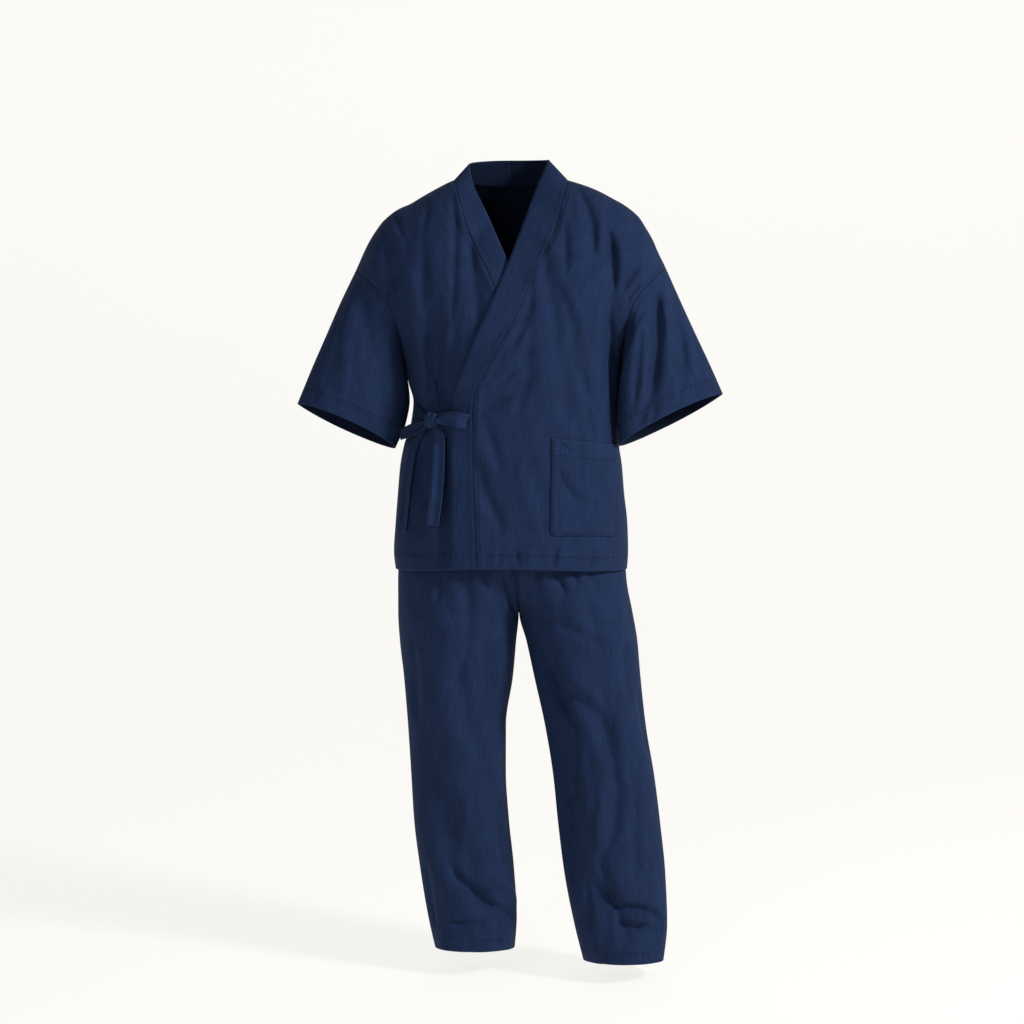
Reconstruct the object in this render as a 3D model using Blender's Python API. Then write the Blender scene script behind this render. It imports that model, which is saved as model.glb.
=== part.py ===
"""Kimono pyjama set in its worn form: a crossed jacket tied at the waist, and straight trousers.

Metres, +Z up, front towards -Y. The origin is the middle of the neck opening at the shoulder
line. "left" and "right" are the wearer's own sides, so "left" is +X.
"""
import math
from collections import namedtuple

import bmesh
import bpy
from mathutils import Matrix, Vector

COLLECTION_NAME = "kimono_pyjama_set"

# Cloth
PANEL_CLOTH = 0.0016          # one layer of the main cloth
BAND_CLOTH = 0.0026           # collar band, folded double
TIE_CLOTH = 0.0016            # flat tie, folded double and pressed
WAIST_CLOTH = 0.0026          # waistband, folded double
SEAM = 0.0003                 # gap left at every seam
NAVY = (0.018, 0.030, 0.072, 1.0)
NAVY_DARK = (0.015, 0.026, 0.062, 1.0)
CLOTH_ROUGHNESS = 0.82

# Jacket levels
HEM_FRONT_Z = -0.700
HEM_SIDE_Z = -0.712
HEM_BACK_Z = -0.706
UNDERARM_Z = -0.330
NECK_SIDE_X = 0.1057          # where collar, shoulder seam and neck meet
NECK_SIDE_Z = 0.0105
NECK_BACK_Z = 0.000
SHOULDER_DROP = 0.220         # height over which the shoulder rounds down to full depth
SECTION_POWER = 2.4           # squareness of the jacket's plan section
COLLAR_LEAN = 0.150           # half-width over which the front falls away from the neck
NECK_POWER = 1.3              # roundness of the front below the neck
SHOULDER_POWER = 2.0          # roundness of the rest below the shoulder line
UNDERARM_V = 0.52             # row parameter of the underarm point
OVERLAP_LIFT = 0.0080         # how far the over front stands off the under front
LIFT_TOP_Z = -0.020
LIFT_FULL_Z = -0.110
LIFT_FULL_X = 0.115
LIFT_END_X = 0.195

# Plan sections of the jacket, bottom to top: half-widths each side, depth to front and back
Section = namedtuple("Section", "z right left front back")
SECTIONS = (
    Section(-0.720, 0.2155, 0.2175, 0.146, 0.146),
    Section(-0.680, 0.2196, 0.2200, 0.146, 0.146),
    Section(-0.630, 0.2165, 0.2185, 0.145, 0.144),
    Section(-0.570, 0.2117, 0.2120, 0.143, 0.141),
    Section(-0.520, 0.2072, 0.2078, 0.142, 0.138),
    Section(-0.480, 0.1995, 0.2023, 0.141, 0.136),
    Section(-0.440, 0.1880, 0.2012, 0.141, 0.136),
    Section(-0.400, 0.1845, 0.2020, 0.143, 0.138),
    Section(-0.365, 0.1900, 0.2040, 0.146, 0.141),
    Section(-0.330, 0.1980, 0.2060, 0.148, 0.144),
    Section(-0.285, 0.2150, 0.2195, 0.149, 0.147),
    Section(-0.222, 0.2620, 0.2670, 0.149, 0.150),
    Section(-0.175, 0.3000, 0.3050, 0.148, 0.150),
    Section(-0.146, 0.3300, 0.3300, 0.148, 0.150),
    Section(-0.090, 0.3650, 0.3650, 0.148, 0.150),
    Section(0.030, 0.4100, 0.4100, 0.148, 0.150),
)

# Shoulder line: height over each distance from the middle
Ridge = namedtuple("Ridge", "x right left")
RIDGE = (
    Ridge(0.0000, 0.0300, 0.0300),
    Ridge(0.0600, 0.0230, 0.0230),
    Ridge(0.1057, 0.0105, 0.0105),
    Ridge(0.1413, -0.0068, -0.0006),
    Ridge(0.1673, -0.0215, -0.0116),
    Ridge(0.1880, -0.0338, -0.0227),
    Ridge(0.2082, -0.0425, -0.0338),
    Ridge(0.2362, -0.0640, -0.0559),
    Ridge(0.2512, -0.0835, -0.0781),
    Ridge(0.2640, -0.1040, -0.1003),
    Ridge(0.2737, -0.1235, -0.1225),
    Ridge(0.2875, -0.1540, -0.1500),
    Ridge(0.3050, -0.1900, -0.1900),
)

# Armhole seam from the underarm (s = 0) to the shoulder (s = 1)
Armhole = namedtuple("Armhole", "s right_x right_z left_x left_z")
ARMHOLE = (
    Armhole(0.00, 0.1980, -0.3300, 0.2060, -0.3300),
    Armhole(0.22, 0.2055, -0.2850, 0.2090, -0.2850),
    Armhole(0.50, 0.2220, -0.2240, 0.2220, -0.2220),
    Armhole(0.78, 0.2560, -0.1800, 0.2560, -0.1760),
    Armhole(1.00, 0.2875, -0.1540, 0.2875, -0.1500),
)

# Front edge of the over front: seam to the band, and the band's free edge; the under front
# is its mirror image
BandRow = namedtuple("BandRow", "v seam_x seam_z free_x free_y free_z")
BAND_ROWS = (
    BandRow(0.00, -0.0636, -0.7000, -0.1076, -0.136, -0.7000),
    BandRow(0.24, -0.0690, -0.5400, -0.1073, -0.135, -0.5400),
    BandRow(0.40, -0.0706, -0.4320, -0.1078, -0.132, -0.4320),
    BandRow(0.46, -0.0676, -0.3845, -0.1066, -0.131, -0.3935),
    BandRow(0.52, -0.0500, -0.3460, -0.0880, -0.137, -0.3400),
    BandRow(0.60, -0.0190, -0.2890, -0.0605, -0.143, -0.2700),
    BandRow(0.70, 0.0090, -0.2400, -0.0370, -0.145, -0.2180),
    BandRow(0.80, 0.0381, -0.1704, -0.0080, -0.132, -0.1500),
    BandRow(0.90, 0.0783, -0.0850, 0.0262, -0.089, -0.0610),
    BandRow(0.95, 0.0915, -0.0388, 0.0460, -0.045, -0.0060),
    BandRow(1.00, 0.1057, 0.0105, 0.0700, -0.006, 0.0480),
)
COLLAR_BACK_TOP_Z = 0.050
COLLAR_BACK_TOP_Y = 0.060
COLLAR_RIGHT_TOP_X = 0.078    # the right side of the collar lies wider and lower
COLLAR_RIGHT_TOP_Z = 0.040
COLLAR_BEND_V = 0.90          # row above which the right side of the collar does so
HUG_END_V, FREE_V = 0.66, 0.80    # the band lies on the jacket below, stands free above
BAND_WIDTH = 0.050
BAND_SEAM = 0.0006            # wider than SEAM, because the band folds over its seam

# Sleeves: outer and inner edges from armhole (t = 0) to cuff (t = 1)
SleeveRow = namedtuple("SleeveRow", "t outer_x outer_z inner_x inner_z")
SLEEVE_RIGHT = (
    SleeveRow(0.00, 0.2875, -0.1540, 0.1980, -0.3300),
    SleeveRow(0.25, 0.3148, -0.2115, 0.1955, -0.3620),
    SleeveRow(0.50, 0.3430, -0.2780, 0.1945, -0.3980),
    SleeveRow(0.75, 0.3690, -0.3390, 0.1990, -0.4400),
    SleeveRow(1.00, 0.3955, -0.4030, 0.2165, -0.4860),
)
SLEEVE_LEFT = (
    SleeveRow(0.00, 0.2875, -0.1500, 0.2060, -0.3300),
    SleeveRow(0.12, 0.3010, -0.1800, 0.2075, -0.3465),
    SleeveRow(0.25, 0.3151, -0.2115, 0.2040, -0.3640),
    SleeveRow(0.50, 0.3430, -0.2720, 0.2005, -0.4010),
    SleeveRow(0.75, 0.3700, -0.3290, 0.1995, -0.4400),
    SleeveRow(1.00, 0.3955, -0.3860, 0.2010, -0.4790),
)
CUFF_DEPTH = 0.064            # half the cuff's width from front to back
CUFF_Y = -0.012
CUFF_TILT = 0.24              # the back of the cuff hangs lower by this share of its depth
CUFF_POINT = 0.6              # how much the outer edge of the cuff is flattened to a fold
INNER_FORWARD = {"right": 0.0, "left": 0.050}    # the inner fold hangs before the body
INNER_FORWARD_T = 0.35        # place along the sleeve where it has come forward fully
SLEEVE_FOLD_T = 0.2           # place along the sleeve where its folds reach full depth
SEAM_PULL = 2.2               # widens the armhole gap, which the sleeve meets at a slant
SEAM_PULL_T = 0.12

# Pocket on the over front, in the panel's own parameters
POCKET_IN_LOW_U, POCKET_IN_TOP_U = 0.482, 0.531
POCKET_OUT_LOW_U, POCKET_OUT_TOP_U = 0.925, 0.968
POCKET_LOW_V = 0.086
POCKET_IN_TOP_V, POCKET_OUT_TOP_V = 0.336, 0.318
POCKET_ROUND_U, POCKET_ROUND_V = 0.045, 0.016     # size of the rounded lower corners
POCKET_EDGE_U = 0.008         # least width of the pocket's last column
POCKET_CORNER = 0.3           # share of the corner size by which its point is drawn in
POCKET_CLEAR = 0.0008         # gap between the pocket and the panel under it

# Largest folds of the jacket, as soft troughs from one point to another
Fold = namedtuple("Fold", "x1 z1 x2 z2 depth width")
FRONT_FOLDS = (
    Fold(-0.228, -0.105, -0.203, -0.240, 0.012, 0.016),
    Fold(-0.203, -0.240, -0.178, -0.400, 0.014, 0.015),
    Fold(-0.075, -0.060, -0.062, -0.230, 0.006, 0.016),
    Fold(-0.146, -0.400, -0.135, -0.215, 0.009, 0.014),
    Fold(-0.120, -0.390, -0.100, -0.270, 0.004, 0.012),
    Fold(-0.169, -0.480, -0.165, -0.640, 0.005, 0.012),
    Fold(0.060, -0.120, 0.092, -0.390, 0.006, 0.018),
    Fold(0.112, -0.270, 0.098, -0.430, 0.004, 0.014),
    Fold(-0.080, -0.430, 0.040, -0.350, 0.003, 0.014),
    Fold(0.147, -0.040, 0.150, -0.130, 0.004, 0.013),
    Fold(0.182, -0.080, 0.188, -0.430, 0.008, 0.014),
)
BACK_FOLDS = (
    Fold(-0.205, -0.170, -0.172, -0.400, 0.014, 0.016),
    Fold(0.212, -0.170, 0.186, -0.400, 0.012, 0.016),
    Fold(-0.120, -0.300, -0.110, -0.600, 0.007, 0.018),
    Fold(-0.045, -0.360, -0.040, -0.540, 0.005, 0.016),
    Fold(0.030, -0.120, 0.035, -0.420, 0.004, 0.020),
    Fold(0.110, -0.340, 0.125, -0.620, 0.006, 0.018),
)
SLEEVE_FOLDS = {
    "right": (Fold(-0.280, -0.200, -0.262, -0.410, 0.008, 0.015),
              Fold(-0.335, -0.290, -0.325, -0.390, 0.004, 0.014)),
    "left": (Fold(0.268, -0.190, 0.262, -0.410, 0.009, 0.014),
             Fold(0.310, -0.240, 0.325, -0.360, 0.004, 0.016)),
}
FOLD_FADE = 0.060             # folds die out towards seams where the form is this shallow
FOLD_REACH = 3.0              # widths from its line at which a fold ends

# Trousers: plan sections from hem to waist. "centre" is the middle seam; below the crotch
# the legs have their own inner edges
Leg = namedtuple("Leg", "z right_out right_in left_out left_in centre depth right_y left_y")
LEGS = (
    Leg(-1.456, 0.1402, 0.0058, 0.2864, 0.1380, 0.0152, 0.0755, 0.004, -0.0525),
    Leg(-1.380, 0.1572, 0.0112, 0.2940, 0.1190, 0.0152, 0.0780, 0.004, -0.050),
    Leg(-1.285, 0.1725, 0.0058, 0.2902, 0.1005, 0.0152, 0.0810, 0.004, -0.046),
    Leg(-1.193, 0.1836, -0.0037, 0.2808, 0.0888, 0.0152, 0.0840, 0.003, -0.042),
    Leg(-1.100, 0.1890, -0.0095, 0.2690, 0.0792, 0.0152, 0.0880, 0.002, -0.037),
    Leg(-1.010, 0.1944, -0.0093, 0.2538, 0.0645, 0.0152, 0.0950, 0.000, -0.028),
    Leg(-0.918, 0.2017, 0.0039, 0.2437, 0.0440, 0.0152, 0.1060, 0.000, -0.015),
    Leg(-0.850, 0.2092, 0.0100, 0.2380, 0.0290, 0.0152, 0.1160, 0.000, -0.005),
    Leg(-0.797, 0.2122, 0.0149, 0.2290, 0.0155, 0.0152, 0.1240, 0.000, 0.000),
    Leg(-0.740, 0.2122, 0.0149, 0.2180, 0.0155, 0.0100, 0.1290, 0.000, 0.000),
    Leg(-0.690, 0.2105, 0.0149, 0.2138, 0.0155, 0.0050, 0.1310, 0.000, 0.000),
    Leg(-0.600, 0.1990, 0.0149, 0.2020, 0.0155, 0.0000, 0.1280, 0.000, 0.000),
    Leg(-0.500, 0.1740, 0.0149, 0.1840, 0.0155, 0.0000, 0.1200, 0.000, 0.000),
)
HEM_LEFT_Z = -1.448
HEM_RIGHT_Z = -1.438
HEM_RISE = 0.10               # the front of each leg hem lies higher by this share of its depth
CROTCH_Z = -0.797
CROTCH_RISE = 0.125           # height over which the crotch seam turns upright
CROTCH_POWER = 1.5            # rows stand closer together just above the crotch
HEM_RISE_V = 0.35             # row at which the hem's rise has died out
LEG_FOLD_EDGE = 0.5           # sine of the angle at which leg folds reach full depth
WAIST_Z = -0.5103
WAISTBAND_TOP_Z = -0.475
LEG_FOLDS = {
    "right_front": (Fold(-0.105, -1.290, -0.010, -1.395, 0.007, 0.014),
                    Fold(-0.110, -0.830, -0.060, -1.060, 0.006, 0.020),
                    Fold(-0.040, -0.810, -0.120, -0.930, 0.006, 0.016)),
    "left_front": (Fold(0.155, -1.290, 0.180, -1.370, 0.006, 0.013),
                   Fold(0.200, -1.365, 0.270, -1.385, 0.006, 0.012),
                   Fold(0.040, -0.870, 0.110, -0.990, 0.007, 0.016),
                   Fold(0.150, -0.780, 0.185, -1.060, 0.005, 0.020)),
    "right_back": (Fold(-0.150, -0.830, -0.040, -0.880, 0.007, 0.018),
                   Fold(-0.100, -1.080, -0.080, -1.330, 0.005, 0.018)),
    "left_back": (Fold(0.200, -0.830, 0.060, -0.890, 0.007, 0.018),
                  Fold(0.190, -1.080, 0.200, -1.330, 0.005, 0.018)),
}

# Ties: centre line of each flat strap; facing turns it from the front towards the right
# side, roll turns it about its own length
Strap = namedtuple("Strap", "x off z facing roll")
Keyed = namedtuple("Keyed", "share x y z facing roll")
TIE_WIDTH = 0.020
KNOT_CENTRE = (-0.1490, -0.1104, -0.4310)
KNOT_HALF = (0.0135, 0.0085, 0.0120)
KNOT_FACING = 36.0
KNOT_SQUARE = 0.62            # below 1 the knot's ball shape turns squarer

# These lie on the jacket: off is their distance from its form
LYING = {
    "tie_strap_front": (
        Strap(-0.1095, 0.0090, -0.4290, 24, 0),
        Strap(-0.1170, 0.0088, -0.4295, 30, 0),
        Strap(-0.1362, 0.0070, -0.4300, 34, 0),
    ),
    "tie_strap_side": (
        Strap(-0.1795, 0.0046, -0.4110, 64, 0),
        Strap(-0.1740, 0.0038, -0.4150, 57, 0),
        Strap(-0.1640, 0.0036, -0.4220, 46, 0),
    ),
    "tie_tail_front": (
        Strap(-0.1475, 0.0046, -0.4447, 38, 0),
        Strap(-0.1420, 0.0022, -0.4750, 34, 0),
        Strap(-0.1400, 0.0018, -0.5300, 32, 0),
        Strap(-0.1450, 0.0018, -0.6230, 31, 0),
    ),
    "tie_tail_side": (
        Strap(-0.1640, 0.0050, -0.4400, 46, 0),
        Strap(-0.1760, 0.0022, -0.4700, 52, 0),
        Strap(-0.1850, 0.0017, -0.5200, 56, 0),
        Strap(-0.1930, 0.0016, -0.5800, 56, 0),
        Strap(-0.1990, 0.0016, -0.6380, 56, 0),
    ),
}
# These stand free: off is how far they are in front of the knot's middle
LOOPS = {
    "tie_loop_left": (
        Strap(-0.1644, 0.0060, -0.4350, 40, 58),
        Strap(-0.1800, 0.0040, -0.4330, 40, 56),
        Strap(-0.1960, 0.0010, -0.4410, 40, 54),
        Strap(-0.2020, 0.0000, -0.4570, 40, 52),
        Strap(-0.1930, 0.0020, -0.4700, 40, 54),
        Strap(-0.1760, 0.0060, -0.4660, 40, 56),
        Strap(-0.1600, 0.0100, -0.4480, 40, 58),
    ),
    "tie_loop_right": (
        Strap(-0.1380, 0.0145, -0.4270, 30, 0),
        Strap(-0.1080, 0.0330, -0.4230, 24, 0),
        Strap(-0.0850, 0.0400, -0.4240, 16, 0),
        Strap(-0.0790, 0.0370, -0.4260, 14, 0),
        Strap(-0.0850, 0.0340, -0.4290, 16, 0),
        Strap(-0.1080, 0.0275, -0.4310, 24, 0),
        Strap(-0.1390, 0.0104, -0.4330, 32, 0),
    ),
}

# Mesh counts
BODY_ROWS = 13                # hem to underarm
ARM_ROWS = 12                 # underarm to shoulder
FRONT_COLUMNS = 14
FRONT_START_ANGLE = -15.0    # degrees round the section at which the first column stands
BACK_SIDE_COLUMNS = 8
NECK_COLUMNS = 8
BAND_COLUMNS = 2
SLEEVE_ROWS = 9
LEG_ROWS_LOW = 17
LEG_ROWS_HIGH = 9
LEG_COLUMNS = 10
WAIST_COLUMNS = 32
STRAP_ROWS = 12
LOOP_ROWS = 20
ARM_ROW_POWER = 1.4           # rows stand closer together towards the shoulder
BACK_COLUMN_POWER = 1.9       # columns stand closer together towards the side
NECK_U = 1.0 / 3.0            # the neck takes the middle third of the back's columns
POCKET_LAST_ROW = 0.6
SAME_POINT = 0.000001
DIFFERENCE = 0.01             # step used to find a surface's normal


# Small mathematics

def smooth(low, high, value):
    """Return 0 below low, 1 above high and a soft step between."""
    share = min(1.0, max(0.0, (value - low) / (high - low)))
    return share * share * (3.0 - 2.0 * share)


def mix(first, second, share):
    """Return the value that lies a share of the way from first to second."""
    return first + (second - first) * share


def slope(rows, keys, values, index):
    """Return the slope at a table row that keeps the curve free of overshoot."""
    if index in (0, len(rows) - 1):
        near = min(index, len(rows) - 2)
        return (values[near + 1] - values[near]) / (keys[near + 1] - keys[near])
    before = (values[index] - values[index - 1]) / (keys[index] - keys[index - 1])
    after = (values[index + 1] - values[index]) / (keys[index + 1] - keys[index])
    if before * after <= 0.0:
        return 0.0
    return 2.0 * before * after / (before + after)


def column(rows, key, name):
    """Return a column's smooth value between table rows, whose first column rises."""
    keys = [row[0] for row in rows]
    values = [getattr(row, name) for row in rows]
    key = min(keys[-1], max(keys[0], key))
    index = 0
    while index < len(rows) - 2 and key > keys[index + 1]:
        index += 1
    span = keys[index + 1] - keys[index]
    share = (key - keys[index]) / span
    start = slope(rows, keys, values, index) * span
    end = slope(rows, keys, values, index + 1) * span
    square, cube = share * share, share ** 3
    return ((2 * cube - 3 * square + 1) * values[index] + (cube - 2 * square + share) * start
            + (3 * square - 2 * cube) * values[index + 1] + (cube - square) * end)


def fold_depth(folds, x, z):
    """Return how deep the troughs in a list of folds are at a point."""
    total = 0.0
    for fold in folds:
        run_x, run_z = fold.x2 - fold.x1, fold.z2 - fold.z1
        length = run_x * run_x + run_z * run_z
        share = ((x - fold.x1) * run_x + (z - fold.z1) * run_z) / length
        held = min(1.0, max(0.0, share))
        gap = math.hypot(x - fold.x1 - run_x * held, z - fold.z1 - run_z * held)
        if gap < FOLD_REACH * fold.width:
            total += fold.depth * math.exp(-(gap / fold.width) ** 2)
    return total


# Jacket form

def side_name(x):
    """Return the name of the wearer's side on which an x lies."""
    return "left" if x >= 0.0 else "right"


def form_depth(x, z, face):
    """Return how far the jacket stands out to its front or back over a point."""
    name = side_name(x)
    across = min(1.0, abs(x) / column(SECTIONS, z, name))
    across = (1.0 - across ** SECTION_POWER) ** (1.0 / SECTION_POWER)
    down = (column(RIDGE, abs(x), name) - z) / SHOULDER_DROP
    down = min(1.0, max(0.0, down))
    power = SHOULDER_POWER
    if face == "front":
        power = mix(NECK_POWER, SHOULDER_POWER, min(1.0, abs(x) / COLLAR_LEAN))
    round_off = (1.0 - (1.0 - down) ** power) ** (1.0 / power)
    plain = column(SECTIONS, z, face) * across * round_off
    folds = FRONT_FOLDS if face == "front" else BACK_FOLDS
    return plain - fold_depth(folds, x, z) * smooth(0.0, FOLD_FADE, plain)


def overlap_lift(x, z):
    """Return how far the over front stands off the common front form at a point."""
    return (OVERLAP_LIFT * smooth(LIFT_TOP_Z, LIFT_FULL_Z, z)
            * (1.0 - smooth(LIFT_FULL_X, LIFT_END_X, x)))


def side_edge(sign, v):
    """Return x and z of a jacket panel's outer edge: side seam, then armhole."""
    name = side_name(sign)
    if v <= UNDERARM_V:
        z = mix(HEM_SIDE_Z, UNDERARM_Z, v / UNDERARM_V)
        return sign * column(SECTIONS, z, name), z
    s = (v - UNDERARM_V) / (1.0 - UNDERARM_V)
    return sign * column(ARMHOLE, s, name + "_x"), column(ARMHOLE, s, name + "_z")


def shoulder_edge(sign, share):
    """Return x and z on the shoulder line from neck (0) to armhole (1)."""
    name = side_name(sign)
    x = mix(NECK_SIDE_X, ARMHOLE[-1].left_x, share)
    return sign * x, column(RIDGE, x, name)


def neck_edge(x):
    """Return the height of the back neck seam over an x."""
    return mix(NECK_BACK_Z, NECK_SIDE_Z, (x / NECK_SIDE_X) ** 2)


def coons(low, high, first, last, u, v):
    """Return x and z inside four edges, given as functions of u (low, high) and v."""
    low_u, high_u, first_v, last_v = low(u), high(u), first(v), last(v)
    corners = low(0.0), low(1.0), high(0.0), high(1.0)
    return tuple(
        (1 - v) * low_u[i] + v * high_u[i] + (1 - u) * first_v[i] + u * last_v[i]
        - (1 - u) * (1 - v) * corners[0][i] - u * (1 - v) * corners[1][i]
        - (1 - u) * v * corners[2][i] - u * v * corners[3][i]
        for i in (0, 1))


def front_place(sign, u, v):
    """Return a point of a front panel; u runs from the band seam to the side."""
    over = sign > 0

    def band_seam(at):
        return (sign * column(BAND_ROWS, at, "seam_x"), column(BAND_ROWS, at, "seam_z"))

    def hem(at):
        start, end = band_seam(0.0), side_edge(sign, 0.0)
        return mix(start[0], end[0], at), mix(HEM_FRONT_Z, HEM_SIDE_Z, at * at)

    x, z = coons(hem, lambda at: shoulder_edge(sign, at), band_seam,
                 lambda at: side_edge(sign, at), u, v)
    depth = form_depth(x, z, "front") + (overlap_lift(x, z) if over else 0.0)
    return Vector((x, -max(depth, SEAM / 2), z))


def back_place(u, v):
    """Return a point of the back; u runs from the right side to the left side."""
    def hem(at):
        x = mix(side_edge(-1, 0.0)[0], side_edge(1, 0.0)[0], at)
        return x, mix(HEM_BACK_Z, HEM_SIDE_Z, (2.0 * at - 1.0) ** 2)

    def top(at):
        if at < NECK_U:
            return shoulder_edge(-1, 1.0 - at / NECK_U)
        if at > 1.0 - NECK_U:
            return shoulder_edge(1, 1.0 - (1.0 - at) / NECK_U)
        x = NECK_SIDE_X * math.sin((at - 0.5) / NECK_U * math.pi)
        return x, neck_edge(x)

    x, z = coons(hem, top, lambda at: side_edge(-1, at), lambda at: side_edge(1, at), u, v)
    return Vector((x, max(form_depth(x, z, "back"), SEAM / 2), z))


# Other surfaces

def band_place(sign, u, v):
    """Return a point of a collar band; v above 1 is the standing collar round the neck."""
    share = mix(BAND_SEAM / BAND_WIDTH, 1.0, u)
    if v <= 1.0:
        seam_x, seam_z = column(BAND_ROWS, v, "seam_x"), column(BAND_ROWS, v, "seam_z")
        free_x, free_z = column(BAND_ROWS, v, "free_x"), column(BAND_ROWS, v, "free_z")
        if sign < 0:
            bend = smooth(COLLAR_BEND_V, 1.0, v)
            free_x += (COLLAR_RIGHT_TOP_X - BAND_ROWS[-1].free_x) * bend
            free_z += (COLLAR_RIGHT_TOP_Z - BAND_ROWS[-1].free_z) * bend
        seam_y = max(form_depth(sign * seam_x, seam_z, "front"), SEAM / 2)
        hug = 1.0 - smooth(HUG_END_V, FREE_V, v)
        free_y = mix(-column(BAND_ROWS, v, "free_y"),
                     form_depth(sign * free_x, free_z, "front"), hug)
        if sign > 0:
            seam_y += overlap_lift(seam_x, seam_z)
            free_y += overlap_lift(free_x, free_z)
        seam = Vector((sign * seam_x, -seam_y, seam_z))
        free = Vector((sign * free_x, -free_y, free_z))
        return seam.lerp(free, share)
    angle = (2.0 - v) * math.pi / 2.0
    seam_x = NECK_SIDE_X * math.sin(angle)
    seam_z = neck_edge(seam_x)
    seam_y = max(form_depth(sign * seam_x, seam_z, "back"), SEAM / 2)
    top_x = COLLAR_RIGHT_TOP_X if sign < 0 else BAND_ROWS[-1].free_x
    top_z = COLLAR_RIGHT_TOP_Z if sign < 0 else BAND_ROWS[-1].free_z
    free = Vector((sign * top_x * math.sin(angle),
                   mix(BAND_ROWS[-1].free_y, COLLAR_BACK_TOP_Y, math.cos(angle)),
                   mix(top_z, COLLAR_BACK_TOP_Z, math.cos(angle))))
    point = Vector((sign * seam_x, seam_y, seam_z)).lerp(free, share)
    point.x = sign * max(abs(point.x), SEAM / 2)
    return point


def sleeve_place(sign, u, v):
    """Return a point of a sleeve; u runs round it from its outer edge by the front."""
    name = side_name(sign)
    rows = SLEEVE_LEFT if sign > 0 else SLEEVE_RIGHT
    face = "front" if u <= 0.5 else "back"
    toward = -1.0 if face == "front" else 1.0
    half = 2.0 * u if face == "front" else 2.0 * (1.0 - u)
    arm_v = mix(1.0, UNDERARM_V, half)
    hole_x, hole_z = side_edge(sign, arm_v)
    hole_y = toward * form_depth(hole_x, hole_z, face)

    phi = math.pi * half
    across = (1.0 - math.cos(phi)) / 2.0
    cuff_y = toward * CUFF_DEPTH * max(0.0, math.sin(phi)) ** (1.0 + CUFF_POINT * (1.0 - across))
    cuff = rows[-1]
    cuff_x = sign * mix(cuff.outer_x, cuff.inner_x, across)
    cuff_z = mix(cuff.outer_z, cuff.inner_z, across) - CUFF_TILT * cuff_y
    start = rows[0]
    x, z = mix(hole_x, cuff_x, v), mix(hole_z, cuff_z, v)
    outer = 1.0 - across
    straight = (mix(start.outer_x, cuff.outer_x, v), mix(start.outer_z, cuff.outer_z, v),
                mix(start.inner_x, cuff.inner_x, v), mix(start.inner_z, cuff.inner_z, v))
    x += sign * (outer * (column(rows, v, "outer_x") - straight[0])
                 + across * (column(rows, v, "inner_x") - straight[2]))
    z += (outer * (column(rows, v, "outer_z") - straight[1])
          + across * (column(rows, v, "inner_z") - straight[3]))
    depth = abs(mix(hole_y, cuff_y, v))
    folds = fold_depth(SLEEVE_FOLDS[name], x, z) * smooth(0.0, FOLD_FADE, depth)
    forward = INNER_FORWARD[name] * across * across * smooth(0.0, INNER_FORWARD_T, v)
    y = toward * (depth - folds * smooth(0.0, SLEEVE_FOLD_T, v)) + CUFF_Y * v - forward
    pull = SEAM * SEAM_PULL * (1.0 - smooth(0.0, SEAM_PULL_T, v))
    return Vector((x + sign * pull, y, z - pull))


def pocket_parameters(u, v):
    """Return the over front's parameters for a point of the pocket."""
    rise = (v - POCKET_LOW_V) / (POCKET_IN_TOP_V - POCKET_LOW_V)
    in_u = mix(POCKET_IN_LOW_U, POCKET_IN_TOP_U, rise)
    out_u = mix(POCKET_OUT_LOW_U, POCKET_OUT_TOP_U, rise)
    panel_u = out_u if u == 1.0 else min(out_u - POCKET_EDGE_U, max(in_u, u))
    share = (panel_u - in_u) / (out_u - in_u)
    panel_v = min(v, mix(POCKET_IN_TOP_V, POCKET_OUT_TOP_V, share))
    low = v == POCKET_LOW_V
    inward = 1.0 if panel_u == in_u else -1.0
    if low and panel_u in (in_u, out_u):
        panel_u += inward * POCKET_CORNER * POCKET_ROUND_U
        panel_v = v + POCKET_CORNER * POCKET_ROUND_V
    return panel_u, panel_v


def leg_place(sign, face, u, v):
    """Return a point of a trouser panel; u runs from the side seam to the inner seam."""
    name = side_name(sign)
    toward = -1.0 if face == "front" else 1.0
    hem_z = HEM_LEFT_Z if sign > 0 else HEM_RIGHT_Z
    if v <= 1.0:
        z = mix(hem_z, CROTCH_Z, v)
        turned = 0.0
    else:
        rise = (v - 1.0) ** CROTCH_POWER
        z = mix(CROTCH_Z, WAIST_Z, rise)
        climb = min(1.0, (z - CROTCH_Z) / CROTCH_RISE)
        turned = math.sqrt(1.0 - (1.0 - climb) ** 2)
    out_x = sign * column(LEGS, z, name + "_out")
    if v <= 1.0:
        in_x = column(LEGS, z, name + "_in")
    else:
        in_x = column(LEGS, z, "centre") + sign * SEAM / 2
    half_turn = math.sqrt(1.0 - turned * turned)
    reach = abs(out_x - in_x) / (1.0 + half_turn)
    middle = out_x - sign * reach
    last = math.pi - math.asin(turned)
    angle = u * last
    depth = column(LEGS, z, "depth")
    folds = fold_depth(LEG_FOLDS[name + "_" + face], middle + sign * reach * math.cos(angle), z)
    folds *= smooth(0.0, LEG_FOLD_EDGE, math.sin(angle))
    x = middle + sign * (reach - folds) * math.cos(angle)
    bulge = max((depth - folds) * math.sin(angle), SEAM / 2)
    y = toward * bulge + column(LEGS, z, name + "_y")
    z -= HEM_RISE * toward * bulge * (1.0 - smooth(0.0, HEM_RISE_V, v))
    return Vector((x, y, z))


def waist_place(u, v):
    """Return a point of the waistband ring."""
    angle = 2.0 * math.pi * u
    z = mix(WAIST_Z + SEAM, WAISTBAND_TOP_Z, v)
    name = "left" if math.cos(angle) >= 0.0 else "right"
    return Vector((column(LEGS, WAIST_Z, name + "_out") * math.cos(angle),
                   column(LEGS, WAIST_Z, "depth") * math.sin(angle), z))


# Mesh builders

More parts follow.
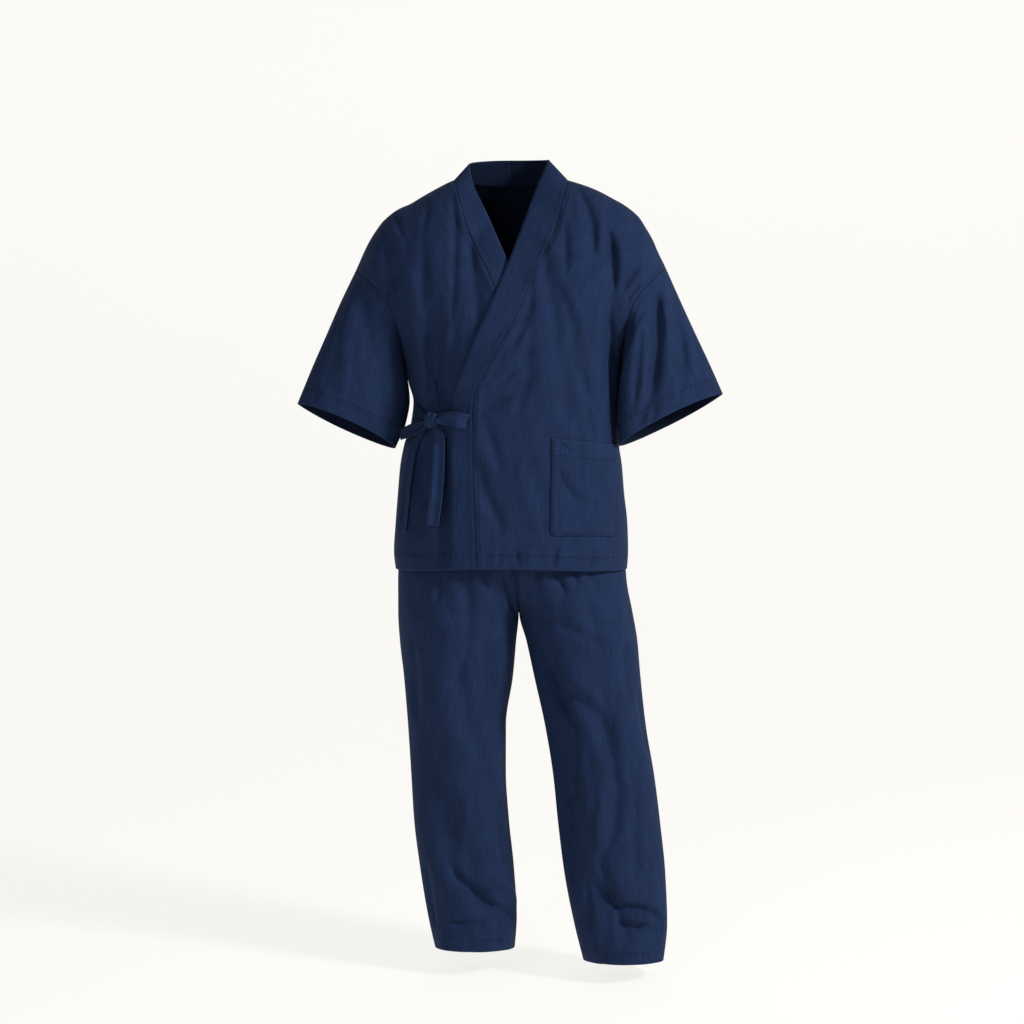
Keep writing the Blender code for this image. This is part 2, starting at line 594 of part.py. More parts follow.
def normal_at(place, u, v, ends=(0.0, 1.0), rows=(0.0, 1.0)):
    """Return the unit normal of a surface by differences kept inside its edges."""
    low_u, high_u = max(ends[0], u - DIFFERENCE), min(ends[1], u + DIFFERENCE)
    low_v, high_v = max(rows[0], v - DIFFERENCE), min(rows[1], v + DIFFERENCE)
    along = place(high_u, v) - place(low_u, v)
    up = place(u, high_v) - place(u, low_v)
    return along.cross(up).normalized()


def new_object(name, bm, colour, parts):
    """Turn a bmesh into a named object with its own material in the collection."""
    bmesh.ops.recalc_face_normals(bm, faces=bm.faces)
    mesh = bpy.data.meshes.new(name)
    bm.to_mesh(mesh)
    bm.free()
    material = bpy.data.materials.new(name + "_cloth")
    material.use_nodes = True
    shader = material.node_tree.nodes["Principled BSDF"]
    shader.inputs["Base Color"].default_value = colour
    shader.inputs["Roughness"].default_value = CLOTH_ROUGHNESS
    material.diffuse_color = colour
    mesh.materials.append(material)
    parts.objects.link(bpy.data.objects.new(name, mesh))


def shell(name, outside, inside, columns, rows, parts, colour=NAVY, closed=False):
    """Build a thin closed wall between an outer and an inner surface over given stations."""
    bm = bmesh.new()
    across = bm.verts.layers.int.new("column")
    upward = bm.verts.layers.int.new("row")
    bmesh.ops.create_grid(bm, x_segments=len(columns) - 1, y_segments=len(rows) - 1, size=0.5)
    for vert in bm.verts:
        vert[across] = round((vert.co.x + 0.5) * (len(columns) - 1))
        vert[upward] = round((vert.co.y + 0.5) * (len(rows) - 1))
        if closed:
            vert[across] %= len(columns) - 1
        vert.co = outside(columns[vert[across]], rows[vert[upward]])
    if closed:
        bmesh.ops.remove_doubles(bm, verts=bm.verts, dist=SAME_POINT)
    made = bmesh.ops.extrude_face_region(bm, geom=bm.faces[:])
    for vert in made["geom"]:
        if isinstance(vert, bmesh.types.BMVert):
            vert.co = inside(columns[vert[across]], rows[vert[upward]])
    new_object(name, bm, colour, parts)


def even(count, low=0.0, high=1.0):
    """Return evenly spaced stations."""
    return [mix(low, high, index / count) for index in range(count + 1)]


def jacket_rows():
    """Return the row stations shared by jacket panels, bands and sleeves."""
    rows = even(BODY_ROWS, 0.0, UNDERARM_V)
    for index in range(1, ARM_ROWS + 1):
        share = 1.0 - (1.0 - index / ARM_ROWS) ** ARM_ROW_POWER
        rows.append(mix(UNDERARM_V, 1.0, share))
    return rows


def front_columns():
    """Return the column stations of a front panel, closer together towards its side."""
    start = math.radians(FRONT_START_ANGLE)
    waves = [math.sin(mix(start, math.pi / 2, index / FRONT_COLUMNS))
             for index in range(FRONT_COLUMNS + 1)]
    return [(wave - waves[0]) / (1.0 - waves[0]) for wave in waves]


def build_jacket_panels(parts):
    """Build the back and the two fronts."""
    rows = jacket_rows()
    columns = front_columns()
    for sign, name in ((1, "jacket_front_left"), (-1, "jacket_front_right")):
        def outside(u, v, sign=sign):
            return front_place(sign, u, v)

        def inside(u, v, sign=sign, outside=outside):
            point = outside(u, v)
            normal = normal_at(outside, u, v)
            if normal.y > 0.0:
                normal.negate()
            if u == 1.0 and v <= UNDERARM_V or v == 1.0:
                normal = held(normal, 1)
                normal = normal if normal.x * sign > 0.0 or v == 1.0 else -normal
                if normal.z < 0.0 and v == 1.0:
                    normal.negate()
            return point - normal * PANEL_CLOTH

        shell(name, outside, inside, columns, rows, parts)

    side = [NECK_U * (index / BACK_SIDE_COLUMNS) ** BACK_COLUMN_POWER
            for index in range(BACK_SIDE_COLUMNS)]
    columns = side + even(NECK_COLUMNS, NECK_U, 1.0 - NECK_U) + [1.0 - u for u in reversed(side)]

    def back_inside(u, v):
        point = back_place(u, v)
        normal = normal_at(back_place, u, v)
        if normal.y < 0.0:
            normal.negate()
        on_side = u in (columns[0], columns[-1]) and v <= UNDERARM_V
        on_shoulder = v == 1.0 and not NECK_U < u < 1.0 - NECK_U
        if on_side:
            normal = Vector((1.0 if u > 0.5 else -1.0, 0.0, 0.0))
        elif on_shoulder:
            normal = held(normal, 1)
            if normal.z < 0.0:
                normal.negate()
        return point - normal * PANEL_CLOTH

    shell("jacket_back", back_place, back_inside, columns, rows, parts)


def held(normal, axis):
    """Return a unit normal with one axis left out, so that a seam stays in its plane."""
    kept = normal.copy()
    kept[axis] = 0.0
    return kept.normalized()


def seam_normal(sign, v):
    """Return the normal of the jacket where the collar band is sewn to it."""
    if v <= 1.0:
        normal = normal_at(lambda at, up: front_place(sign, at, up), 0.0, v)
        if normal.y > 0.0:
            normal.negate()
    else:
        at = 0.5 + sign * (2.0 - v) * NECK_U / 2.0
        normal = normal_at(back_place, at, 1.0)
        if normal.y < 0.0:
            normal.negate()
        if v == 2.0:
            normal = held(normal, 0)
    return held(normal, 1) if v == 1.0 else normal


def build_bands(parts):
    """Build the two halves of the collar band."""
    rows = jacket_rows() + even(NECK_COLUMNS // 2, 1.0, 2.0)[1:]
    for sign, name in ((1, "band_left"), (-1, "band_right")):
        def outside(u, v, sign=sign):
            return band_place(sign, u, v)

        def inside(u, v, sign=sign, outside=outside):
            low, high = (0.0, 1.0) if v <= 1.0 else (1.0, 2.0)
            normal = normal_at(outside, u, v, rows=(low, high))
            low_down = v <= COLLAR_BEND_V
            if normal.y > 0.0 if low_down else normal.x * sign < 0.0:
                normal.negate()
            if v == 2.0:
                normal = held(normal, 0)
                if normal.y < 0.0:
                    normal.negate()
            if u == 0.0:
                normal = seam_normal(sign, v)
            return outside(u, v) - normal * BAND_CLOTH

        shell(name, outside, inside, even(BAND_COLUMNS), rows, parts, NAVY_DARK)


def build_sleeves(parts):
    """Build the two sleeves as tubes from armhole to cuff."""
    arm = [(row - UNDERARM_V) / (1.0 - UNDERARM_V) for row in jacket_rows() if row >= UNDERARM_V]
    front = [(1.0 - share) / 2.0 for share in reversed(arm)]
    columns = front + [1.0 - u for u in reversed(front[:-1])]
    for sign, name in ((1, "sleeve_left"), (-1, "sleeve_right")):
        def outside(u, v, sign=sign):
            return sleeve_place(sign, u % 1.0, v)

        def inside(u, v, sign=sign, outside=outside):
            point = outside(u, v)
            normal = normal_at(outside, u, v, ends=(-1.0, 2.0))
            middle = (outside(0.0, v) + outside(0.5, v)) / 2.0
            if normal.dot(point - middle) < 0.0:
                normal.negate()
            return point - normal * PANEL_CLOTH

        shell(name, outside, inside, columns, even(SLEEVE_ROWS), parts, closed=True)


def build_pocket(parts):
    """Build the patch pocket from the over front's own points, moved out."""
    def moved(u, v, distance):
        panel_u, panel_v = pocket_parameters(u, v)
        normal = normal_at(lambda at, up: front_place(1, at, up), panel_u, panel_v)
        if normal.y > 0.0:
            normal.negate()
        return front_place(1, panel_u, panel_v) + normal * distance

    columns = [u for u in front_columns() if POCKET_IN_TOP_U < u < POCKET_OUT_TOP_U]
    columns = [0.0, POCKET_IN_LOW_U + POCKET_ROUND_U] + columns
    columns += [POCKET_OUT_LOW_U - POCKET_ROUND_U, 1.0]
    rows = [v for v in jacket_rows() if POCKET_LOW_V < v < POCKET_OUT_TOP_V]
    rows = [POCKET_LOW_V, POCKET_LOW_V + POCKET_ROUND_V] + rows
    rows += [mix(rows[-1], POCKET_OUT_TOP_V, POCKET_LAST_ROW), POCKET_IN_TOP_V]
    shell("pocket", lambda u, v: moved(u, v, POCKET_CLEAR + PANEL_CLOTH),
          lambda u, v: moved(u, v, POCKET_CLEAR), sorted(columns), sorted(rows), parts,
          NAVY_DARK)


def build_trousers(parts):
    """Build the four trouser panels and the waistband."""
    rows = even(LEG_ROWS_LOW) + even(LEG_ROWS_HIGH, 1.0, 2.0)[1:]
    for sign, side in ((1, "left"), (-1, "right")):
        for face in ("front", "back"):
            def outside(u, v, sign=sign, face=face):
                return leg_place(sign, face, u, v)

            def inside(u, v, outside=outside, sign=sign, face=face):
                low, high = (0.0, 1.0) if v <= 1.0 else (1.0, 2.0)
                point = outside(u, v)
                normal = normal_at(outside, u, v, rows=(low, high))
                out = 1.0 if face == "back" else -1.0
                if normal.y * out < 0.0:
                    normal.negate()
                if u == 0.0:
                    normal = Vector((sign, 0.0, 0.0))
                elif u == 1.0 and v <= 1.0:
                    normal = Vector((-sign, 0.0, 0.0))
                elif u == 1.0:
                    normal = held(normal, 0)
                    if normal.y * out < 0.0:
                        normal.negate()
                return point - normal * PANEL_CLOTH

            shell("trouser_%s_%s" % (face, side), outside, inside, even(LEG_COLUMNS), rows, parts)

    def waist_inside(u, v):
        point = waist_place(u, v)
        radial = Vector((point.x, point.y, 0.0)).normalized()
        return point - radial * WAIST_CLOTH

    shell("waistband", waist_place, waist_inside, even(WAIST_COLUMNS), even(1), parts,
          NAVY_DARK, closed=True)


def keyed_rows(name):
    """Return a strap's table with each row's place along it and its y worked out."""
    rows = LYING.get(name) or LOOPS[name]
    keyed = []
    for index, row in enumerate(rows):
        y = KNOT_CENTRE[1] - row.off
        if name in LYING:
            reach = row.off / math.cos(math.radians(row.facing))
            y = -form_depth(row.x, row.z, "front") - reach
        keyed.append(Keyed(index / (len(rows) - 1), row.x, y, row.z, row.facing, row.roll))
    return keyed


def strap_centre(rows, share):
    """Return centre point, facing and roll of a tie strap a share of the way along."""
    point = Vector([column(rows, share, name) for name in ("x", "y", "z")])
    return point, column(rows, share, "facing"), column(rows, share, "roll")


def strap_frame(rows, share):
    """Return centre, outward and sideways directions of a tie strap."""
    centre, facing, roll = strap_centre(rows, share)
    ahead = strap_centre(rows, min(1.0, share + DIFFERENCE))[0]
    behind = strap_centre(rows, max(0.0, share - DIFFERENCE))[0]
    along = (ahead - behind).normalized()
    angle = math.radians(facing)
    outward = Vector((-math.sin(angle), -math.cos(angle), 0.0))
    outward = (outward - along * outward.dot(along)).normalized()
    outward = Matrix.Rotation(math.radians(roll), 3, along) @ outward
    return centre, outward, along.cross(outward)


def build_ties(parts):
    """Build the knot, the straps, the loops and the free tails."""
    centre = Vector(KNOT_CENTRE)
    bm = bmesh.new()
    bmesh.ops.create_uvsphere(bm, u_segments=16, v_segments=10, radius=1.0)
    turn = Matrix.Rotation(math.radians(-KNOT_FACING), 3, "Z")
    for vert in bm.verts:
        squared = [math.copysign(abs(c) ** KNOT_SQUARE, c) * half
                   for c, half in zip(vert.co, KNOT_HALF)]
        vert.co = turn @ Vector(squared) + centre
    new_object("tie_knot", bm, NAVY, parts)

    for name in (*LYING, *LOOPS):
        rows = keyed_rows(name)
        count = LOOP_ROWS if name in LOOPS else STRAP_ROWS
        frames = {share: strap_frame(rows, share) for share in even(count)}

        def edge(u, v, half, frames=frames):
            centre, outward, side = frames[v]
            return centre + side * (u - 0.5) * TIE_WIDTH + outward * half

        shell(name, lambda u, v, edge=edge: edge(u, v, TIE_CLOTH / 2),
              lambda u, v, edge=edge: edge(u, v, -TIE_CLOTH / 2), even(2), list(frames), parts)


def main():
    """Clear the scene and build every part of the set."""
    for old in list(bpy.data.objects):
        bpy.data.objects.remove(old)
    parts = bpy.data.collections.new(COLLECTION_NAME)
    bpy.context.scene.collection.children.link(parts)
    build_jacket_panels(parts)
    build_bands(parts)
    build_sleeves(parts)
    build_pocket(parts)
    build_trousers(parts)
    build_ties(parts)


main()
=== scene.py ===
"""Dress a worn kimono pyjama set: cloth panels with folds, seams, hems, stitching and ties.

Metres, +Z up, the front towards -Y. "left" and "right" are the wearer's own sides, so the left
side is +X.
"""
import logging
import math
from dataclasses import dataclass, field, replace
from enum import Enum
from functools import partial
from typing import Callable, Optional, Sequence, Union

import bmesh
import bpy
import numpy as np
from mathutils import Matrix, Vector


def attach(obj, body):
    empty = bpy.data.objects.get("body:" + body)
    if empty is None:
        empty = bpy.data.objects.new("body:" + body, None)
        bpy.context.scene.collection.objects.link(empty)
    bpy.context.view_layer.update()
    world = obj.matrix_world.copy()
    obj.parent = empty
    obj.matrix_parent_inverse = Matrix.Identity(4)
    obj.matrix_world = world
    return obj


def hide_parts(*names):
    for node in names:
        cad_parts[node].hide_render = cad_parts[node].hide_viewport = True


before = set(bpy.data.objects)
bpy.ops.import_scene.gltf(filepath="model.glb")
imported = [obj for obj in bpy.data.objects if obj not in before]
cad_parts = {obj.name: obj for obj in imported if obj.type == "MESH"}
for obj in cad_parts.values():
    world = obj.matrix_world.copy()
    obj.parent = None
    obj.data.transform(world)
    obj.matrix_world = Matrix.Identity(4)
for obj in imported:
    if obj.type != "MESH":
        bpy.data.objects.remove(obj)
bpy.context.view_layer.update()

LOG = logging.getLogger("pyjama_set")
MM = 1000.0                                # millimetres in a metre
ALL_EDGES = ("low", "high", "first", "last")
Grid = np.ndarray
Place = Callable[[Grid, Grid], tuple]
Places = Union[int, Grid]


class Side(Enum):
    """The wearer's sides, with the sign of their x."""

    LEFT = 1
    RIGHT = -1


class Face(Enum):
    """Front and back, with the sign of their y."""

    FRONT = -1
    BACK = 1


class Grain(Enum):
    """The direction in which a line of stitches runs on a piece."""

    ACROSS = 0
    ALONG = 1


def smooth(low: float, high: float, value: Grid) -> Grid:
    """Return 0 below low, 1 above high and a soft step between.

    Args:
        low: Value at which the step starts.
        high: Value at which it ends.
        value: Values to step.

    Returns:
        The step's height for each value.
    """
    share = np.clip((value - low) / (high - low), 0.0, 1.0)
    return share * share * (3.0 - 2.0 * share)


def mix(first: Grid, second: Grid, share: Grid) -> Grid:
    """Return the value a share of the way from first to second."""
    return first + (second - first) * share


class Table:
    """A short table with named columns, read as smooth curves over its first column."""

    plain = {"s", "v", "t", "share", "facing", "roll", "wide"}

    def __init__(self, columns: str, rows: Sequence[Sequence[float]], unit: float = 1.0) -> None:
        """Keep the rows and column names, with each length divided by the unit."""
        self.names = columns.split()
        units = [1.0 if name in self.plain else unit for name in self.names]
        self.rows = np.array(rows, float) / units

    def at(self, name: str, key: Grid) -> Grid:
        """Return a column's value between rows, with no overshoot.

        Args:
            name: The column.
            key: Places in the first column.

        Returns:
            The column's values there.
        """
        keys, values = self.rows[:, 0], self.rows[:, self.names.index(name)]
        key = np.clip(key, keys[0], keys[-1])
        steps = np.diff(values) / np.diff(keys)
        slopes = np.empty_like(values)
        slopes[0], slopes[-1] = steps[0], steps[-1]
        product = steps[:-1] * steps[1:]
        total = steps[:-1] + steps[1:]
        slopes[1:-1] = np.where(product > 0.0, 2.0 * product / np.where(total == 0, 1, total), 0.0)
        index = np.clip(np.searchsorted(keys, key, side="left") - 1, 0, len(keys) - 2)
        span = keys[index + 1] - keys[index]
        share = (key - keys[index]) / span
        square, cube = share ** 2, share ** 3
        return ((2 * cube - 3 * square + 1) * values[index]
                + (cube - 2 * square + share) * slopes[index] * span
                + (3 * square - 2 * cube) * values[index + 1]
                + (cube - square) * slopes[index + 1] * span)


def own(value: dict) -> dict:
    """Return a dataclass field that starts as a dictionary."""
    return field(default_factory=value.copy)


@dataclass(frozen=True)
class Crease:
    """A soft trough in the cloth, or a ridge where its depth is below nought, in metres."""

    x1: float
    z1: float
    x2: float
    z2: float
    bow: float
    depth: float
    width: float
    end_width: float = 0.65
    added_width: float = 0.5
    end_fade: float = 0.6

    def depth_at(self, x: Grid, z: Grid) -> Grid:
        """Return how deep this crease is at each point.

        Args:
            x: Points' x in metres.
            z: Points' z in metres.

        Returns:
            Depths in metres.
        """
        run_x, run_z = self.x2 - self.x1, self.z2 - self.z1
        length = math.hypot(run_x, run_z)
        share = ((x - self.x1) * run_x + (z - self.z1) * run_z) / length ** 2
        inside = np.clip(share, 0.0, 1.0)
        aside = ((x - self.x1) * run_z - (z - self.z1) * run_x) / length
        aside = aside - self.bow * 4.0 * inside * (1.0 - inside)
        past = (share - inside) * length
        width = self.width * (self.end_width + self.added_width * np.sin(np.pi * inside))
        fade = 1.0 - self.end_fade * np.abs(2.0 * inside - 1.0) ** 3
        return self.depth * fade * np.exp(-(aside ** 2 + past ** 2) / width ** 2)

    def deepened(self, narrow: float = 0.8, shallow: float = 0.45) -> "Crease":
        """Return the same crease, deeper by one share if narrow, by the other if shallow."""
        share = (narrow * smooth(0.014, 0.006, self.width)
                 + shallow * smooth(0.012, 0.008, abs(self.depth)))
        return replace(self, depth=self.depth * (1.0 + share))


def creased(*rows: Sequence[float]) -> tuple:
    """Return creases from rows of x1, z1, x2, z2, bow, depth and width in millimetres."""
    return tuple(Crease(*(value / MM for value in row)).deepened() for row in rows)


def creases_at(creases: Sequence[Crease], x: Grid, z: Grid) -> Grid:
    """Return the depth of all creases together at each point."""
    total = np.zeros_like(x)
    for crease in creases:
        total = total + crease.depth_at(x, z)
    return total


def crumple(x: Grid, z: Grid, seed: int, size: float = 0.0007, reach: float = 0.055,
            waves: int = 14) -> Grid:
    """Return a faint unevenness that no cloth is without.

    Args:
        x: Points across the cloth, in metres.
        z: Points along the cloth, in metres.
        seed: Number that sets the pattern.
        size: Height of the unevenness in metres.
        reach: Length of its longest waves in metres.
        waves: Number of waves, of which each fourth runs along the cloth.

    Returns:
        Heights in metres.
    """
    rng = np.random.default_rng(seed)
    total = np.zeros_like(x)
    for count in range(waves):
        turn = rng.normal(0.0, 0.5) + (math.pi / 2 if count % 4 == 3 else 0.0)
        wave = 2.0 * math.pi / (reach * rng.uniform(0.35, 1.3))
        bend = 0.8 * np.sin(z * rng.uniform(15, 35) + rng.uniform(0, 6))
        total += (np.sin(wave * (x * math.cos(turn) + 0.45 * z * math.sin(turn))
                         + rng.uniform(0, 6.3) + bend) * rng.uniform(0.3, 1.0))
    return total * size / 3.0


@dataclass
class JacketForm:
    """The jacket's own form: sections, shoulder line, armholes, front edges and folds."""

    hem_front_z: float = -0.700
    hem_side_z: float = -0.712
    hem_back_z: float = -0.706
    underarm_z: float = -0.330
    underarm_v: float = 0.52
    neck_x: float = 0.1057
    neck_z: float = 0.0105
    shoulder_drop: float = 0.220
    section_power: float = 2.4
    shoulder_power: float = 2.0
    collar_power: float = 1.3
    collar_lean: float = 0.150
    lift: float = 0.008
    fade: float = 0.060
    shoulder_x: float = 0.2875
    large: int = 11
    seeds: dict = own({Face.FRONT: 5, Face.BACK: 6})
    steps: tuple = (104, 92)
    step_power: float = 1.4
    under_crease: Crease = Crease(-0.1190, -0.4500, -0.1185, -0.7300, 0.0, 0.0070, 0.0110)
    sections: Table = Table("z right left front back", (
        (-720, 215.5, 217.5, 146, 146), (-680, 219.6, 220, 146, 146),
        (-630, 216.5, 218.5, 145, 144), (-570, 211.7, 212, 143, 141),
        (-520, 207.2, 207.8, 142, 138), (-480, 199.5, 202.3, 141, 136),
        (-440, 186.8, 201.2, 141, 136), (-400, 182.2, 202, 143, 138), (-365, 191.2, 204, 146, 141),
        (-330, 198, 206, 148, 144), (-285, 215, 219.5, 149, 147), (-222, 262, 267, 149, 150),
        (-175, 300, 305, 148, 150), (-146, 330, 330, 148, 150), (-90, 365, 365, 148, 150),
        (30, 410, 410, 148, 150)), MM)
    ridge: Table = Table("x right left", (
        (0, 30, 30), (60, 23, 23), (105.7, 10.5, 10.5), (141.3, -6.8, -0.6), (167.3, -21.5, -11.6),
        (188, -33.8, -22.7), (208.2, -42.5, -33.8), (236.2, -64, -55.9), (251.2, -83.5, -78.1),
        (264, -104, -100.3), (273.7, -123.5, -122.5), (287.5, -154, -150),
        (305, -190, -190)), MM)
    armhole: Table = Table("s right_x right_z left_x left_z", (
        (0, 198, -330, 206, -330), (0.22, 205.5, -285, 209, -285), (0.5, 222, -224, 222, -222),
        (0.78, 256, -180, 256, -176), (1, 287.5, -154, 287.5, -150)), MM)
    edge: Table = Table("v seam_x seam_z free_x free_y free_z", (
        (0, -63.6, -700, -107.6, -136, -700), (0.24, -69, -540, -107.3, -135, -540),
        (0.4, -70.6, -432, -107.8, -132, -432), (0.46, -67.6, -384.5, -106.6, -131, -393.5),
        (0.52, -50, -346, -88, -137, -340), (0.6, -19, -289, -60.5, -143, -270),
        (0.7, 9, -240, -37, -145, -218), (0.8, 38.1, -170.4, -8, -132, -150),
        (0.9, 78.3, -85, 26.2, -89, -61), (0.95, 91.5, -38.8, 46, -45, -6),
        (1, 105.7, 10.5, 70, -6, 48)), MM)
    front_creases: Sequence[Crease] = creased(
        (-228, -105, -203, -240, 0, 12, 16), (-203, -240, -178, -400, 0, 14, 15),
        (-75, -60, -62, -230, 0, 6, 16), (-146, -400, -135, -215, 0, 9, 14),
        (-120, -390, -100, -270, 0, 4, 12), (-169, -480, -165, -640, 0, 5, 12),
        (60, -120, 92, -390, 0, 6, 18), (112, -270, 98, -430, 0, 4, 14),
        (-80, -430, 40, -350, 0, 3, 14), (147, -40, 150, -130, 0, 4, 13),
        (182, -80, 188, -430, 0, 8, 14), (-160, -108, -129, -390, 7, 6, 14),
        (-136, -266, -124, -404, 0, 5, 8), (-106, -10, -107, -242, -5, 3, 7),
        (-74, -85, -68, -161, 0, 3, 6), (-184, -248, -157, -391, 0, -3, 9),
        (62, -103, 62, -179, 0, 1.4, 7), (98, -76, 100, -161, 0, 2.5, 7),
        (124, -10, 151, -121, -7, 5, 8), (172, -75, 187, -185, -4, 5, 8),
        (38, -176, 4, -293, -8, 4, 9), (35, -260, 11, -416, -7, 4, 12),
        (89, -194, 137, -381, -8, 4, 12), (63, -199, 69, -302, 0, -2.5, 10),
        (162, -212, 157, -303, 0, -2.5, 10), (-74, -483, -16, -625, 4, 4.5, 12),
        (137, -397, 152, -461, 0, 3, 6), (116, -320, 145, -398, 0, 2.5, 8),
        (89, -525, 188, -585, 26, 3, 9), (87, -467, 109, -489, 0, 1.6, 4),
        (9, -665, 15, -696, 0, 2.4, 4), (82, -664, 77, -695, 0, 1.6, 4),
        (149, -664, 145, -697, 0, 1.8, 4), (-20, -667, -22, -696, 0, 1.4, 3.5),
        (-196, -488, -204, -646, 0, 4, 8), (-107, -393, -89, -364, 0, 2, 5),
        (-129, -415, -133, -357, 0, 3, 6), (-157, -467, -174, -578, 0, 3, 8),
        (-150, -435, -154, -590, 0, 6, 11), (-122, -466, -117, -612, 0, 4, 8),
        (236, -153, 205, -196, 4, 3.4, 4.8), (236, -177, 210, -215, 0, 2.4, 4.5),
        (-202, -143, -211, -194, 0, 3, 6), (17, -519, 44, -629, 0, -2, 14),
        (180, -212, 189, -398, 0, 3, 7), (-214, -55, -199, -95, 0, 3, 7),
        (221, -45, 237, -98, 0, 2.5, 7), (-49, -429, -20, -519, 0, 2.5, 9),
        (90, -48, 75, -103, 0, 2, 6), (-150, -30, -160, -90, 0, 2.2, 6),
        (178, -240, 196, -330, 0, 3, 6), (120, -430, 128, -540, 0, 1.8, 8),
        (0, -330, 40, -300, 0, 2, 5), (-30, -370, 20, -330, 0, 2.2, 5),
        (-45, -405, 0, -385, 0, 2, 4.5), (-102, -438, -89, -465, 0, 2, 4))
    back_creases: Sequence[Crease] = creased(
        (-205, -170, -172, -400, 0, 14, 16), (212, -170, 186, -400, 0, 12, 16),
        (-120, -300, -110, -600, 0, 7, 18), (-45, -360, -40, -540, 0, 5, 16),
        (30, -120, 35, -420, 0, 4, 20), (110, -340, 125, -620, 0, 6, 18),
        (-180, -120, -110, -330, 12, 5, 10), (190, -130, 120, -320, -10, 5, 10),
        (-205, -400, -100, -440, 10, 5, 9), (-200, -430, -60, -500, 12, 4, 11),
        (195, -410, 110, -450, -8, 3, 9), (-20, -60, -60, -260, 6, 3, 9),
        (70, -80, 85, -300, 5, 4, 10), (10, -330, 0, -520, 4, -3, 13),
        (70, -420, 80, -640, 6, 4, 11), (-80, -500, -85, -680, 4, 4, 10),
        (170, -440, 175, -660, 4, 4, 9), (-170, -520, -175, -690, 3, 4, 9),
        (230, -150, 208, -190, 0, 2.4, 4.5), (-226, -160, -204, -200, 0, 2.4, 4.5),
        (40, -665, 44, -700, 0, 2, 4), (-110, -668, -108, -700, 0, 1.8, 4),
        (140, -668, 143, -702, 0, 1.8, 4))

    def by_side(self, table: Table, key: Grid, side: Grid) -> Grid:
        """Return a table's left or right column by the sign of side."""
        return np.where(side >= 0, table.at("left", key), table.at("right", key))

    def depth(self, x: Grid, z: Grid, face: Face, fine: bool = True) -> Grid:
        """Return how far the jacket stands out to its front or back.

        Args:
            x: Points' x.
            z: Points' z.
            face: Front or back.
            fine: Whether the finer creases count.

        Returns:
            Distances from the plane y = 0.
        """
        across = np.minimum(1.0, np.abs(x) / self.by_side(self.sections, z, x))
        across = (1.0 - across ** self.section_power) ** (1.0 / self.section_power)
        down = (self.by_side(self.ridge, np.abs(x), x) - z) / self.shoulder_drop
        down = np.clip(down, 0.0, 1.0)
        front = face is Face.FRONT
        lean = np.minimum(1.0, np.abs(x) / self.collar_lean) if front else 1.0
        power = mix(self.collar_power, self.shoulder_power, lean)
        rounding = (1.0 - (1.0 - down) ** power) ** (1.0 / power)
        plain = self.sections.at("front" if front else "back", z) * across * rounding
        creases = self.front_creases if front else self.back_creases
        fade = smooth(0.0, self.fade, plain)
        if not fine:
            return plain - creases_at(creases[:self.large], x, z) * fade
        return (plain - creases_at(creases, x, z) * fade
                + crumple(x, z, self.seeds[face]) * fade)

    def tuck(self, x: Grid, z: Grid) -> Grid:
        """Return how far the under front is drawn in beside the over front's band."""
        return creases_at((self.under_crease,), x, z)

    def overlap(self, x: Grid, z: Grid) -> Grid:
        """Return how far the over front stands off the under front."""
        return self.lift * smooth(-0.020, -0.110, z) * (1.0 - smooth(0.115, 0.195, x))

    def side_edge(self, side: Side, v: Grid) -> tuple:
        """Return x and z of a panel's outer edge: the side seam, then the armhole."""
        name, sign = side.name.lower(), side.value
        seam_z = mix(self.hem_side_z, self.underarm_z, np.minimum(v / self.underarm_v, 1.0))
        seam_x = self.sections.at(name, seam_z)
        s = np.clip((v - self.underarm_v) / (1.0 - self.underarm_v), 0.0, 1.0)
        low = v <= self.underarm_v
        x = np.where(low, seam_x, self.armhole.at(name + "_x", s))
        z = np.where(low, seam_z, self.armhole.at(name + "_z", s))
        return sign * x, z

    def shoulder_edge(self, side: Side, share: Grid) -> tuple:
        """Return x and z on the shoulder line from neck to armhole."""
        x = mix(self.neck_x, self.shoulder_x, share)
        return side.value * x, self.ridge.at(side.name.lower(), x)

    def neck_edge(self, x: Grid) -> Grid:
        """Return the height of the back neck seam over an x."""
        return self.neck_z * (x / self.neck_x) ** 2

    def front(self, side: Side, u: Grid, v: Grid) -> tuple:
        """Return points of a front panel; u runs from the band seam to the side.

        Args:
            side: The panel's side.
            u: Places across, 0 to 1.
            v: Places up, 0 to 1.

        Returns:
            x, y and z.
        """
        sign = side.value

        def band_seam(at: Grid) -> tuple:
            """Return the edge that is sewn to the band."""
            return sign * self.edge.at("seam_x", at), self.edge.at("seam_z", at)

        def hem(at: Grid) -> tuple:
            """Return the lower edge."""
            start, end = band_seam(np.zeros(1))[0], self.side_edge(side, np.zeros(1))[0]
            return mix(start, end, at), mix(self.hem_front_z, self.hem_side_z, at * at)

        x, z = coons(hem, lambda at: self.shoulder_edge(side, at), band_seam,
                     lambda at: self.side_edge(side, at), u, v)
        added = self.overlap(x, z) if side is Side.LEFT else -self.tuck(x, z)
        return x, -np.maximum(self.depth(x, z, Face.FRONT) + added, 0.0), z

    def back(self, u: Grid, v: Grid) -> tuple:
        """Return points of the back; u runs from the right side to the left side.

        Args:
            u: Places across, 0 to 1.
            v: Places up, 0 to 1.

        Returns:
            x, y and z.
        """
        def hem(at: Grid) -> tuple:
            """Return the lower edge."""
            right = self.side_edge(Side.RIGHT, np.zeros(1))[0]
            left = self.side_edge(Side.LEFT, np.zeros(1))[0]
            z = mix(self.hem_back_z, self.hem_side_z, (2.0 * at - 1.0) ** 2)
            return mix(right, left, at), z

